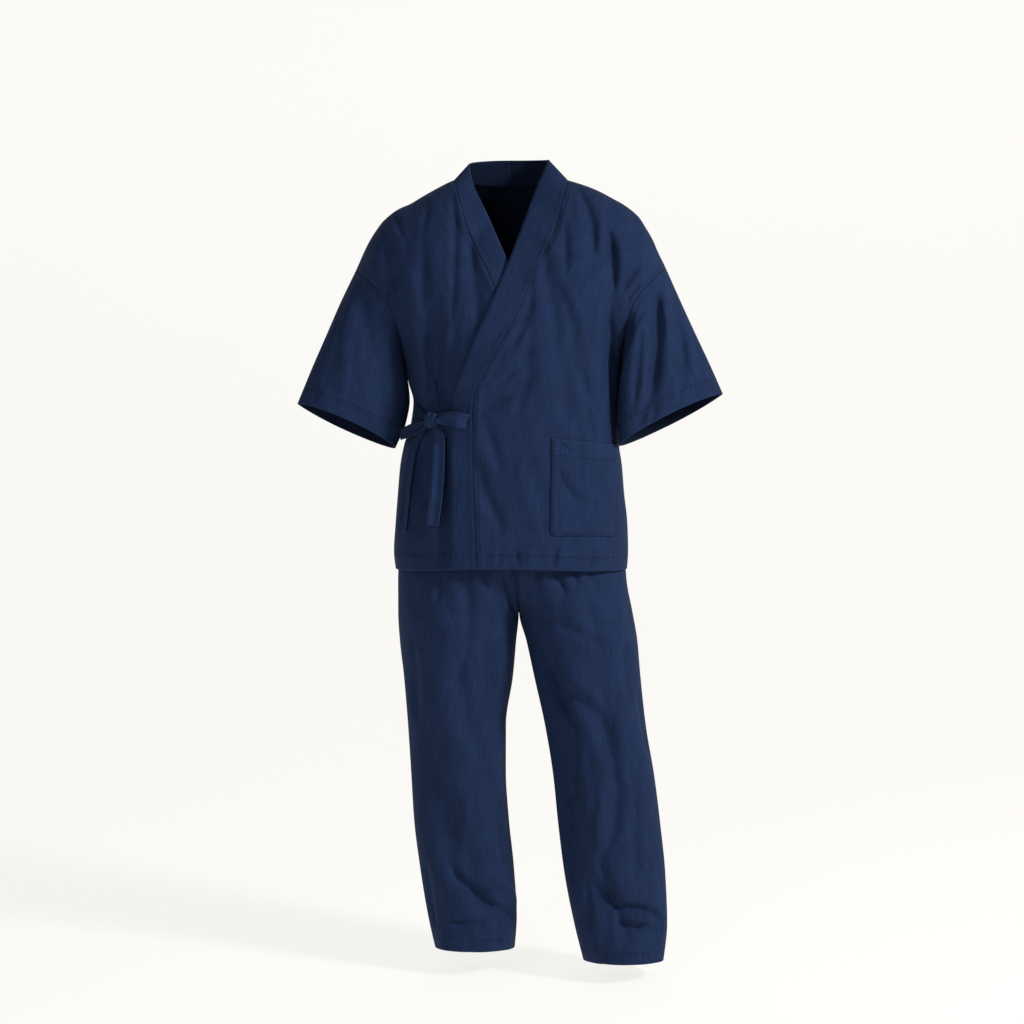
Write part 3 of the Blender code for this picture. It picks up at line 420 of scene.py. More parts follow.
        def top(at: Grid) -> tuple:
            """Return the upper edge: shoulder, neck and shoulder."""
            right = self.shoulder_edge(Side.RIGHT, np.clip(1.0 - 3.0 * at, 0.0, 1.0))
            left = self.shoulder_edge(Side.LEFT, np.clip(3.0 * at - 2.0, 0.0, 1.0))
            neck_x = self.neck_x * np.sin((at - 0.5) * 3.0 * np.pi)
            on_neck = np.abs(at - 0.5) <= 1.0 / 6.0
            x = np.where(on_neck, neck_x, np.where(at < 0.5, right[0], left[0]))
            z = np.where(on_neck, self.neck_edge(neck_x), np.where(at < 0.5, right[1], left[1]))
            return x, z

        x, z = coons(hem, top, lambda at: self.side_edge(Side.RIGHT, at),
                     lambda at: self.side_edge(Side.LEFT, at), u, v)
        return x, np.maximum(self.depth(x, z, Face.BACK), 0.0), z

    def above(self, steps: int) -> Grid:
        """Return row places from the underarm to the shoulder, closer at the shoulder."""
        share = 1.0 - (1.0 - np.arange(1, steps + 1) / steps) ** self.step_power
        return mix(self.underarm_v, 1.0, share)

    def rows(self) -> Grid:
        """Return row places from the hem by the underarm to the shoulder."""
        low, high = self.steps
        return np.concatenate([np.linspace(0.0, self.underarm_v, low + 1), self.above(high)])


def coons(low: Callable, high: Callable, first: Callable, last: Callable,
          u: Grid, v: Grid) -> tuple:
    """Return x and z inside four edges.

    Args:
        low: Lower edge by u.
        high: Upper edge by u.
        first: Edge at u = 0, by v.
        last: Edge at u = 1, by v.
        u: Places across.
        v: Places up.

    Returns:
        x and z of the places.
    """
    none, full = np.zeros(1), np.ones(1)
    edges = low(u), high(u), first(v), last(v)
    corners = low(none), low(full), high(none), high(full)
    return tuple((1 - v) * edges[0][i] + v * edges[1][i] + (1 - u) * edges[2][i] + u * edges[3][i]
                 - (1 - u) * (1 - v) * corners[0][i] - u * (1 - v) * corners[1][i]
                 - (1 - u) * v * corners[2][i] - u * v * corners[3][i] for i in (0, 1))


# Shader expressions

class Shade:
    """A shader socket that takes part in Python expressions."""

    def __init__(self, paint: "Paint", socket: bpy.types.NodeSocket) -> None:
        """Keep the socket and the material that it belongs to."""
        self.paint = paint
        self.socket = socket

    def math(self, operation: str, *values: object) -> "Shade":
        """Return the result of a Math node on this socket and other values."""
        inputs = dict(enumerate((self, *values)))
        return self.paint.node("ShaderNodeMath", {"operation": operation}, inputs)

    def __add__(self, other: object) -> "Shade":
        """Return the sum."""
        return self.math("ADD", other)

    __radd__ = __add__

    def __mul__(self, other: object) -> "Shade":
        """Return the product."""
        return self.math("MULTIPLY", other)

    __rmul__ = __mul__

    def __sub__(self, other: object) -> "Shade":
        """Return the difference."""
        return self.math("SUBTRACT", other)

    def __rsub__(self, other: float) -> "Shade":
        """Return a number less this socket."""
        return (self * -1.0) + other

    def step(self, low: float, high: float) -> "Shade":
        """Return a soft step from 0 at low to 1 at high."""
        return self.paint.node("ShaderNodeMapRange", {"interpolation_type": "SMOOTHSTEP"},
                               {"Value": self, "From Min": low, "From Max": high})


class Paint:
    """Builds one material's nodes."""

    def __init__(self, name: str) -> None:
        """Make a material whose tree holds one output."""
        self.material = bpy.data.materials.new(name)
        self.material.use_nodes = True
        self.tree = self.material.node_tree
        self.tree.nodes.clear()

    def node(self, kind: str, settings: dict, inputs: dict, output: object = 0) -> Shade:
        """Add a node, set it up and link it.

        Args:
            kind: The node's type.
            settings: Its properties, set first.
            inputs: Values or sockets by input name or number.
            output: The output that is wanted.

        Returns:
            That output.
        """
        made = self.tree.nodes.new(kind)
        for name, value in settings.items():
            setattr(made, name, value)
        for name, value in inputs.items():
            if isinstance(value, Shade):
                self.tree.links.new(value.socket, made.inputs[name])
            else:
                made.inputs[name].default_value = value
        return Shade(self, made.outputs[output])

    def noise(self, vector: Shade, across: float, along: float, detail: float = 2.0,
              rough: float = 0.5) -> Shade:
        """Return noise over a vector that is stretched across and along."""
        spread = self.node("ShaderNodeVectorMath", {"operation": "MULTIPLY"},
                           {0: vector, 1: (across, along, 1.0)})
        return self.node("ShaderNodeTexNoise", {},
                         {"Vector": spread, "Scale": 1.0, "Detail": detail, "Roughness": rough})

    def finished(self, shader: Shade) -> bpy.types.Material:
        """Link the shader to the material's output and return the material."""
        output = self.tree.nodes.new("ShaderNodeOutputMaterial")
        self.tree.links.new(shader.socket, output.inputs["Surface"])
        return self.material

    def blend(self, share: Shade, first: object, second: object) -> Shade:
        """Return a mix of two colours."""
        return self.node("ShaderNodeMix", {"data_type": "RGBA"},
                         {0: share, 6: first, 7: second}, 2)

    def edge(self, name: str) -> Shade:
        """Return the distance from an edge of the piece, kept as an attribute."""
        return self.node("ShaderNodeAttribute", {"attribute_name": name}, {}, 2)


def toned(colour: tuple, share: float) -> tuple:
    """Return a colour made lighter by a share, with its alpha at 1."""
    return tuple(part * share for part in colour[:3]) + (1.0,)


@dataclass(frozen=True)
class StitchLine:
    """A line of stitches, so far in from one edge of a piece."""

    edge: str
    inset: float
    grain: Grain


@dataclass(frozen=True)
class ClothFinish:
    """Washed plain-weave cotton in navy, with slubs, wear at the edges and stitch lines whose
    trenches are darkened as painted shade.

    Lengths are in metres. Each noise has its waves across and along in a metre, and where it needs
    them its detail and roughness.
    """

    deep: tuple = (0.0076, 0.0168, 0.0480, 1.0)
    light: tuple = (0.0134, 0.0292, 0.0850, 1.0)
    worn: tuple = (0.034, 0.060, 0.150, 1.0)
    roughness: float = 0.88
    sheen: float = 0.02
    sheen_tint: tuple = (0.40, 0.52, 0.90, 1.0)
    gloss: float = 0.10
    thread: float = 0.00055
    weave_height: float = 0.000035
    slub_height: float = 0.00006
    wrinkle_height: float = 0.0009
    stitch_length: float = 0.0034
    stitch_height: float = 0.0004
    trench_depth: float = 0.0005
    pucker_height: float = 0.0026
    pucker_reach: float = 0.010
    # Painted shade in the stitch trenches: how much they are darkened, and the tone they go to.
    shade: float = 0.28
    shade_tone: float = 0.45
    worn_reach: float = 0.0022
    rough_spread: float = 0.10
    tone_range: tuple = (0.36, 0.66)
    tone_shares: tuple = (0.62, 0.14, 0.24)
    weft_share: float = 0.4
    fine_share: float = 0.12
    trench_range: tuple = (0.0003, 0.0016)
    thread_range: tuple = (0.0002, 0.0006)
    warp: tuple = (900.0, 22.0, 2.0, 0.6)
    weft: tuple = (45.0, 900.0, 2.0, 0.6)
    blotch: tuple = (26.0, 14.0, 3.0, 0.55)
    wrinkle: tuple = (38.0, 20.0, 3.0, 0.55)
    fine: tuple = (140.0, 90.0)
    pucker: tuple = (60.0, 210.0)

    def copy_with_painted_light(self, share: float) -> "ClothFinish":
        """Return the same finish with its tone scaled by a share: above 1 a lighter copy as
        painted light, below 1 a darker copy as painted shade.
        """
        return replace(self, deep=toned(self.deep, share), light=toned(self.light, share))

    def material(self, name: str, lines: Sequence[StitchLine] = (),
                 edges: Sequence[str] = ALL_EDGES) -> bpy.types.Material:
        """Build the finish for one piece.

        Args:
            name: The material's name.
            lines: The piece's lines of stitches.
            edges: The edges that are pressed and sewn.

        Returns:
            The material.
        """
        paint = Paint(name)
        cloth = paint.node("ShaderNodeUVMap", {"uv_map": "cloth"}, {})
        split = paint.node("ShaderNodeSeparateXYZ", {}, {0: cloth})
        across, along = (Shade(paint, split.socket.node.outputs[i]) for i in (0, 1))
        warp, weft, blotch, wrinkle, fine = (
            paint.noise(cloth, *waves)
            for waves in (self.warp, self.weft, self.blotch, self.wrinkle, self.fine))

        turn = 2.0 * math.pi / self.thread
        weave = ((across * turn).math("SINE") * (along * turn).math("SINE")) * self.weave_height
        height = (weave + (warp + weft * self.weft_share) * self.slub_height
                  + wrinkle * self.wrinkle_height + fine * (self.wrinkle_height * self.fine_share))
        of_warp, of_weft, of_blotch = self.tone_shares
        tone = warp * of_warp + weft * of_weft + blotch * of_blotch
        colour = paint.blend(tone.step(*self.tone_range), self.deep, self.light)

        groove_painted_shade: Optional[Shade] = None
        for line in lines:
            gap = (paint.edge(line.edge) - line.inset).math("ABSOLUTE")
            trench = 1.0 - gap.step(*self.trench_range)
            upright = line.grain is Grain.ALONG
            run = along if upright else across
            dash = (run * (2.0 * math.pi / self.stitch_length)).math("SINE").step(-0.5, 0.3)
            near = 1.0 - gap.step(*self.thread_range)
            pucker = ((1.0 - gap.step(0.0005, self.pucker_reach))
                      * paint.noise(cloth, *(self.pucker if upright else self.pucker[::-1])))
            height = (height - trench * self.trench_depth + near * dash * self.stitch_height
                      + pucker * self.pucker_height)
            groove_painted_shade = trench if groove_painted_shade is None else groove_painted_shade.math("MAXIMUM", trench)
        rubbed: Optional[Shade] = None
        for edge in edges:
            close = 1.0 - paint.edge(edge).step(0.0, self.worn_reach)
            rubbed = close if rubbed is None else rubbed.math("MAXIMUM", close)
        if rubbed is not None:
            colour = paint.blend(rubbed * (fine * 0.5 + 0.1), colour, self.worn)
        # Painted shade: the stitch trenches are darkened in colour as well as sunk by the bump.
        if groove_painted_shade is not None:
            colour = paint.blend(groove_painted_shade * self.shade, colour, toned(self.deep, self.shade_tone))
        bump = paint.node("ShaderNodeBump", {}, {"Strength": 1.0, "Distance": 1.0,
                                                 "Height": height})
        rough = tone * self.rough_spread + (self.roughness - self.rough_spread / 2.0)
        shader = paint.node("ShaderNodeBsdfPrincipled", {}, {
            "Base Color": colour, "Roughness": rough, "Normal": bump,
            "Sheen Weight": self.sheen, "Sheen Roughness": 0.45,
            "Sheen Tint": self.sheen_tint, "Specular IOR Level": self.gloss})
        return paint.finished(shader)


def settle(piece: bpy.types.Object, node: str) -> None:
    """Put a finished piece in a CAD node's place.

    Args:
        piece: The piece.
        node: The node that it stands for.
    """
    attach(piece, "root")
    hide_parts(node)
    LOG.info("%s made", piece.name)


@dataclass
class Cloth:
    """Makes a panel of cloth as a fine sheet with a thin wall."""

    # Material of each wall's inner side: the same cloth darkened, painted shade for the unlit
    # inside.
    inside: bpy.types.Material
    wall: float = 0.0013
    same_point: float = 1e-5
    samples: int = 400

    def sheet(self, node: str, place: Place, columns: Places, rows: Places, core: Place,
              finish: bpy.types.Material, flat: tuple, held: str = "draped",
              area: Optional[float] = None, wall: Optional[float] = None,
              closed: bool = False, centred: bool = False) -> None:
        """Build a panel from its surface and put it in a CAD node's place.

        Args:
            node: The node.
            place: Surface that gives x, y and z for places across and along.
            columns: Places across, or how many even ones.
            rows: Places along, likewise.
            core: Middle that the outside faces away from, given as place is.
            finish: The material.
            flat: Width and length of its cut. Not used.
            held: How it is held. Not used.
            area: Flat area of its cut, where that isn't a rectangle. Not used.
            wall: Thickness of the wall, if it isn't the usual one.
            closed: Whether the last column meets the first.
            centred: Whether the surface is the middle of the wall and not its outside.
        """
        columns, rows = (np.linspace(0.0, 1.0, places) if isinstance(places, int) else places
                         for places in (columns, rows))
        u, v = np.meshgrid(columns, rows)
        points, cores = (np.stack([np.broadcast_to(c, u.shape) for c in surface(u, v)], axis=-1)
                         for surface in (place, core))
        across, along = (np.cumsum(np.insert(np.linalg.norm(
            np.diff(points, axis=way), axis=2), 0, 0.0, axis=way), axis=way) for way in (1, 0))
        middle = across.shape[1] // 2
        uv = np.stack([across - across[:, middle:middle + 1], along], axis=-1).reshape(-1, 2)
        distances = dict(zip(ALL_EDGES, (along, along[-1:] - along,
                                         across, across[:, -1:] - across)))

        bm = bmesh.new()
        bmesh.ops.create_grid(bm, x_segments=len(columns) - 1, y_segments=len(rows) - 1, size=0.5)
        layers = [(bm.verts.layers.float.new(key), distance.ravel())
                  for key, distance in distances.items()]
        core_layer = bm.verts.layers.float_vector.new("core")
        uv_layer = bm.loops.layers.uv.new("cloth")
        bm.verts.index_update()
        for vert, point, inner in zip(bm.verts, points.reshape(-1, 3), cores.reshape(-1, 3)):
            vert.co = point
            vert[core_layer] = inner
            for layer, values in layers:
                vert[layer] = values[vert.index]
        for face in bm.faces:
            face.smooth = True
            for loop in face.loops:
                loop[uv_layer].uv = uv[loop.vert.index]
        if closed:
            bmesh.ops.remove_doubles(bm, verts=bm.verts, dist=self.same_point)
        bmesh.ops.recalc_face_normals(bm, faces=bm.faces)
        facing = 0.0
        for face in list(bm.faces)[:: max(1, len(bm.faces) // self.samples)]:
            away = face.calc_center_median() - face.verts[0][core_layer]
            facing += face.normal.dot(away) * face.calc_area()
        if facing < 0.0:
            bmesh.ops.reverse_faces(bm, faces=bm.faces)
        bm.verts.layers.float_vector.remove(core_layer)
        piece = stand(bm, node + "_cloth", finish, self.inside)
        solid = piece.modifiers.new("wall", "SOLIDIFY")
        solid.thickness = wall or self.wall
        solid.offset = 0.0 if centred else -1.0
        # The inner shell takes the darkened inside material, painted shade; centred pieces keep
        # their own material on both sides.
        solid.material_offset = 0 if centred else 1
        settle(piece, node)


def stand(bm: bmesh.types.BMesh, name: str, *paints: bpy.types.Material) -> bpy.types.Object:
    """Turn a bmesh into an object of the scene, and free it.

    Args:
        bm: The bmesh.
        name: The object's name, and its mesh's.
        paints: Its materials.

    Returns:
        The object.
    """
    mesh = bpy.data.meshes.new(name)
    bm.to_mesh(mesh)
    bm.free()
    for paint in paints:
        mesh.materials.append(paint)
    made = bpy.data.objects.new(name, mesh)
    bpy.context.scene.collection.objects.link(made)
    return made


def axis(u: Grid, v: Grid) -> tuple:
    """Return the jacket's upright middle, low enough to face away from at any place."""
    return np.zeros_like(u), np.zeros_like(u), np.full_like(u, -0.30)


@dataclass
class JacketBody:
    """The back and the two fronts of the jacket."""

    form: JacketForm
    finish: ClothFinish
    cloth: Cloth
    hem: StitchLine = StitchLine("low", 0.026, Grain.ACROSS)
    side: StitchLine = StitchLine("last", 0.0065, Grain.ALONG)
    other_side: StitchLine = StitchLine("first", 0.0065, Grain.ALONG)
    shoulder: StitchLine = StitchLine("high", 0.0065, Grain.ACROSS)
    band: StitchLine = StitchLine("first", 0.0085, Grain.ALONG)
    front_columns: int = 104
    front_start: float = -15.0
    shoulder_columns: int = 46
    shoulder_power: float = 1.9
    neck_columns: int = 41

    def build(self) -> None:
        """Build and dress the three panels."""
        rows = self.form.rows()
        wave = np.sin(np.linspace(math.radians(self.front_start), math.pi / 2,
                                  self.front_columns))
        columns = (wave - wave[0]) / (1.0 - wave[0])
        for part in Side:
            name = "jacket_front_" + part.name.lower()
            paint = self.finish.material(name, (self.hem, self.side, self.shoulder, self.band),
                                         ("low",))
            self.cloth.sheet(name, partial(self.form.front, part), columns, rows, axis, paint,
                             (0.42, 0.76), area=0.235)
        edge = np.linspace(0.0, 1.0, self.shoulder_columns, endpoint=False)
        edge = edge ** self.shoulder_power / 3.0
        columns = np.concatenate([edge, np.linspace(1 / 3, 2 / 3, self.neck_columns),
                                  1.0 - edge[::-1]])
        paint = self.finish.material("jacket_back", (self.hem, self.side, self.other_side),
                                     ("low",))
        self.cloth.sheet("jacket_back", self.form.back, columns, rows, axis, paint,
                         (0.72, 0.76), area=0.45)


@dataclass
class Bands:
    """The collar band in two halves, from hem to the middle of the neck."""

    form: JacketForm
    finish: ClothFinish
    cloth: Cloth
    wall: float = 0.0026
    top_z: float = 0.050
    top_y: float = 0.060
    right_x: float = 0.078
    right_z: float = 0.040
    puff: float = 0.0012
    hug_range: tuple = (0.66, 0.80)
    columns: int = 13
    neck_rows: int = 41
    lines: tuple = (StitchLine("first", 0.0016, Grain.ALONG),
                    StitchLine("low", 0.026, Grain.ACROSS))
    right_shift: Table = Table("v x", (
        (0, 0), (0.6, 0), (0.7, 3), (0.8, 9), (0.9, 14), (0.95, 18.6), (1, 8)), MM)

    def place(self, side: Side, u: Grid, v: Grid) -> tuple:
        """Return points of a band; v above 1 is the standing collar.

        Args:
            side: The band's side.
            u: Places from the seam, 0, to the free edge, 1.
            v: Places from hem, 0, by the neck side, 1, to the middle back, 2.

        Returns:
            x, y and z.
        """
        form, sign, left = self.form, side.value, side is Side.LEFT
        low = np.minimum(v, 1.0)
        edge = {name: form.edge.at(name, low) for name in form.edge.names[1:]}
        bend = 0.0 if left else smooth(0.9, 1.0, low)
        last = dict(zip(form.edge.names, form.edge.rows[-1]))
        free_x = edge["free_x"] + (0.0 if left else self.right_shift.at("x", low))
        free_z = edge["free_z"] + (self.right_z - last["free_z"]) * bend
        seam_y = np.maximum(form.depth(sign * edge["seam_x"], edge["seam_z"], Face.FRONT), 0.0)
        hug = 1.0 - smooth(*self.hug_range, low)
        free_y = mix(-edge["free_y"], form.depth(sign * free_x, free_z, Face.FRONT), hug)
        if left:
            seam_y = seam_y + form.overlap(edge["seam_x"], edge["seam_z"])
            free_y = free_y + form.overlap(free_x, free_z)
        front = [mix(sign * edge["seam_x"], sign * free_x, u), mix(-seam_y, -free_y, u),
                 mix(edge["seam_z"], free_z, u)]

        angle = (2.0 - np.maximum(v, 1.0)) * np.pi / 2.0
        seam_x = form.neck_x * np.sin(angle)
        seam_z = form.neck_edge(seam_x)
        back_y = np.maximum(form.depth(sign * seam_x, seam_z, Face.BACK), 0.0)
        top_x = last["free_x"] if left else self.right_x
        top_z = last["free_z"] if left else self.right_z
        turn = np.cos(angle)
        neck = [mix(sign * seam_x, sign * top_x * np.sin(angle), u),
                mix(back_y, mix(last["free_y"], self.top_y, turn), u),
                mix(seam_z, mix(top_z, self.top_z, turn), u)]
        x, y, z = (np.where(v <= 1.0, a, b) for a, b in zip(front, neck))
        puff = self.puff * np.sin(np.pi * u) ** 0.5
        return x, y - puff * (1.0 - smooth(0.9, 1.2, v)), z

    def build(self) -> None:
        """Build and dress both halves."""
        rows = np.concatenate([self.form.rows(), np.linspace(1.0, 2.0, self.neck_rows)[1:]])
        for part in Side:
            name = "band_" + part.name.lower()
            paint = self.finish.material(name, self.lines, ("low", "last"))
            self.cloth.sheet(name, partial(self.place, part), self.columns, rows, axis, paint,
                             (0.056, 0.98), area=0.052, wall=self.wall)


@dataclass
class Sleeves:
    """Wide dropped sleeves, open at the cuff."""

    form: JacketForm
    finish: ClothFinish
    cloth: Cloth
    cuff_depth: float = 0.064
    cuff_y: float = -0.012
    cuff_tilt: float = 0.24
    cuff_point: float = 0.6
    half_columns: int = 72
    rows: int = 82
    seed: int = 11
    lines: tuple = (StitchLine("high", 0.030, Grain.ACROSS),
                    StitchLine("low", 0.002, Grain.ACROSS))
    edges: dict = own({
        Side.RIGHT: Table("t outer_x outer_z inner_x inner_z", (
            (0, 287.5, -154, 198, -330), (0.25, 314.8, -211.5, 192.6, -362),
            (0.5, 343, -278, 188.8, -398), (0.75, 369, -339, 196, -440),
            (1, 395.5, -403, 215.5, -486)), MM),
        Side.LEFT: Table("t outer_x outer_z inner_x inner_z", (
            (0, 287.5, -150, 206, -330), (0.12, 301, -180, 205, -346.5),
            (0.25, 315.1, -211.5, 201.3, -364), (0.5, 343, -272, 198.7, -401),
            (0.75, 370, -329, 197.8, -440), (1, 395.5, -386, 199.5, -479)), MM)})
    inner_forward: dict = own({Side.RIGHT: 0.0, Side.LEFT: 0.050})
    forward_end: float = 0.22
    outer_forward: dict = own({Side.RIGHT: 0.036, Side.LEFT: 0.0})
    outer_end: float = 0.8
    fold_start: float = 0.2
    creases: dict = own({
        Side.RIGHT: creased(
            (-268, -200, -246, -410, 0, 8, 16), (-335, -290, -325, -390, 0, 1.5, 14),
            (-274, -212, -275, -396, 11, 1.6, 10), (-315, -267, -341, -366, 0, 1, 9),
            (-245, -197, -231, -414, -5, 3, 11), (-256, -322, -257, -433, 0, -2.5, 8),
            (-296, -193, -306, -267, 0, -2, 8), (-356, -368, -362, -399, 0, 2, 5),
            (-278, -179, -256, -212, 0, 2, 4.5)),
        Side.LEFT: creased(
            (268, -190, 262, -410, 0, 9, 14), (310, -240, 325, -360, 0, 4, 16),
            (265, -193, 238, -433, -15, 5, 9), (283, -175, 289, -285, 0, -3, 8),
            (296, -212, 308, -396, -12, 3.5, 9), (348, -294, 356, -368, 0, 2.5, 8),
            (238, -267, 227, -396, 0, 3.5, 7), (266, -405, 257, -442, 0, 2, 5),
            (252, -212, 230, -252, 0, 2.4, 4.5), (326, -267, 338, -344, 0, -2, 8))})

    def place(self, side: Side, u: Grid, v: Grid) -> tuple:
        """Return points of a sleeve; u runs round it from its outer edge by the front.

        Args:
            side: The sleeve's side.
            u: Places round, 0 to 1.
            v: Places from armhole, 0, to cuff, 1.

        Returns:
            x, y and z.
        """
        form, rows, sign = self.form, self.edges[side], side.value
        front = u <= 0.5
        toward = np.where(front, -1.0, 1.0)
        half = np.where(front, 2.0 * u, 2.0 * (1.0 - u))
        hole_x, hole_z = form.side_edge(side, mix(1.0, form.underarm_v, half))
        hole_y = toward * np.where(front, form.depth(hole_x, hole_z, Face.FRONT),
                                   form.depth(hole_x, hole_z, Face.BACK))
        phi = np.pi * half
        inner = (1.0 - np.cos(phi)) / 2.0
        outer = 1.0 - inner
        start, cuff = (dict(zip(rows.names, rows.rows[i])) for i in (0, -1))
        shape = np.maximum(0.0, np.sin(phi)) ** (1.0 + self.cuff_point * outer)
        cuff_y = toward * self.cuff_depth * shape
        cuff_x = sign * mix(cuff["outer_x"], cuff["inner_x"], inner)
        cuff_z = mix(cuff["outer_z"], cuff["inner_z"], inner) - self.cuff_tilt * cuff_y
        x, z = mix(hole_x, cuff_x, v), mix(hole_z, cuff_z, v)
        bow = {name: rows.at(name, v) - mix(start[name], cuff[name], v) for name in rows.names[1:]}
        x = x + sign * (outer * bow["outer_x"] + inner * bow["inner_x"])
        z = z + outer * bow["outer_z"] + inner * bow["inner_z"]
        depth = np.abs(mix(hole_y, cuff_y, v))
        fade = smooth(0.0, form.fade, depth)
        folds = creases_at(self.creases[side], x, z) * fade * smooth(0.0, self.fold_start, v)
        uneven = crumple(x, z, self.seed + sign) * fade
        forward = (self.inner_forward[side] * inner ** 2 * smooth(0.0, self.forward_end, v)
                   + self.outer_forward[side] * outer ** 2 * smooth(0.0, self.outer_end, v))
        return x, toward * (depth - folds + uneven) + self.cuff_y * v - forward, z

    def core(self, side: Side, u: Grid, v: Grid) -> tuple:
        """Return the middle line of a sleeve."""
        ends = [self.place(side, np.full_like(u, at), v) for at in (0.0, 0.5)]
        return tuple((a + b) / 2.0 for a, b in zip(*ends))

    def build(self) -> None:
        """Build and dress both sleeves."""
        low = self.form.underarm_v
        arm = (np.append(low, self.form.above(self.half_columns)) - low) / (1.0 - low)
        half = (1.0 - arm[::-1]) / 2.0
        columns = np.concatenate([half, 1.0 - half[::-1][1:]])
        for part in Side:
            name = "sleeve_" + part.name.lower()
            paint = self.finish.material(name, self.lines, ("high",))
            self.cloth.sheet(name, partial(self.place, part), columns, self.rows,
                             partial(self.core, part), paint, (0.56, 0.28), area=0.125,
                             closed=True)


@dataclass
class Pocket:
    """The patch pocket, laid on the over front."""

    form: JacketForm
    finish: ClothFinish
    cloth: Cloth
    low_u: tuple = (0.482, 0.925)
    top_u: tuple = (0.531, 0.968)
    low_v: float = 0.086
    top_v: tuple = (0.325, 0.318)
    top_bow: float = 0.0100
    corner: float = 0.09
    corner_height: float = 0.75
    off: float = 0.0026
    wall: float = 0.0014
    probe: float = 0.002
    grid: tuple = (49, 57)
    lines: tuple = (StitchLine("first", 0.0035, Grain.ALONG),
                    StitchLine("last", 0.0035, Grain.ALONG),
                    StitchLine("low", 0.0035, Grain.ACROSS),
                    StitchLine("high", 0.030, Grain.ACROSS))

    def place(self, u: Grid, v: Grid) -> tuple:
        """Return points of the pocket; u runs from its inner to its outer edge."""
        first, last = (mix(self.low_u[i], self.top_u[i], v) for i in (0, 1))
        panel_u = mix(first, last, u)
        panel_v = mix(self.low_v, mix(self.top_v[0], self.top_v[1], u), v)
        panel_v = panel_v - self.top_bow * 4.0 * u * (1.0 - u) * v ** 2
        from_side = np.minimum(u, 1.0 - u) / self.corner
        from_low = v / (self.corner * self.corner_height)
        lack_u = np.clip(1.0 - from_side, 0.0, 1.0)
        lack_v = np.clip(1.0 - from_low, 0.0, 1.0)
        far = np.maximum(np.hypot(lack_u, lack_v), 1e-9)
        pull = 1.0 - np.maximum(lack_u, lack_v) / far
        panel_u = panel_u + (pull * lack_u * self.corner * np.where(u < 0.5, 1.0, -1.0)
                             * (last - first))
        panel_v = panel_v + (pull * lack_v * self.corner * self.corner_height
                             * (self.top_v[0] - self.low_v))
        return self.raise_off(panel_u, panel_v)

    def raise_off(self, u: Grid, v: Grid) -> tuple:
        """Return the over front's points moved out along their normals."""
        here, right, above = (
            np.stack(self.form.front(Side.LEFT, u + step_u, v + step_v), axis=-1)
            for step_u, step_v in ((0.0, 0.0), (self.probe, 0.0), (0.0, self.probe)))
        normal = np.cross(right - here, above - here)
        normal /= np.linalg.norm(normal, axis=-1, keepdims=True)
        normal *= np.where(normal[..., 1:2] > 0.0, -1.0, 1.0)
        return tuple(np.moveaxis(here + normal * self.off, -1, 0))

    def build(self) -> None:
        """Build and dress the pocket."""
        self.cloth.sheet("pocket", self.place, *self.grid, axis,
                         self.finish.material("pocket", self.lines), (0.155, 0.19), "laid",
                         wall=self.wall)


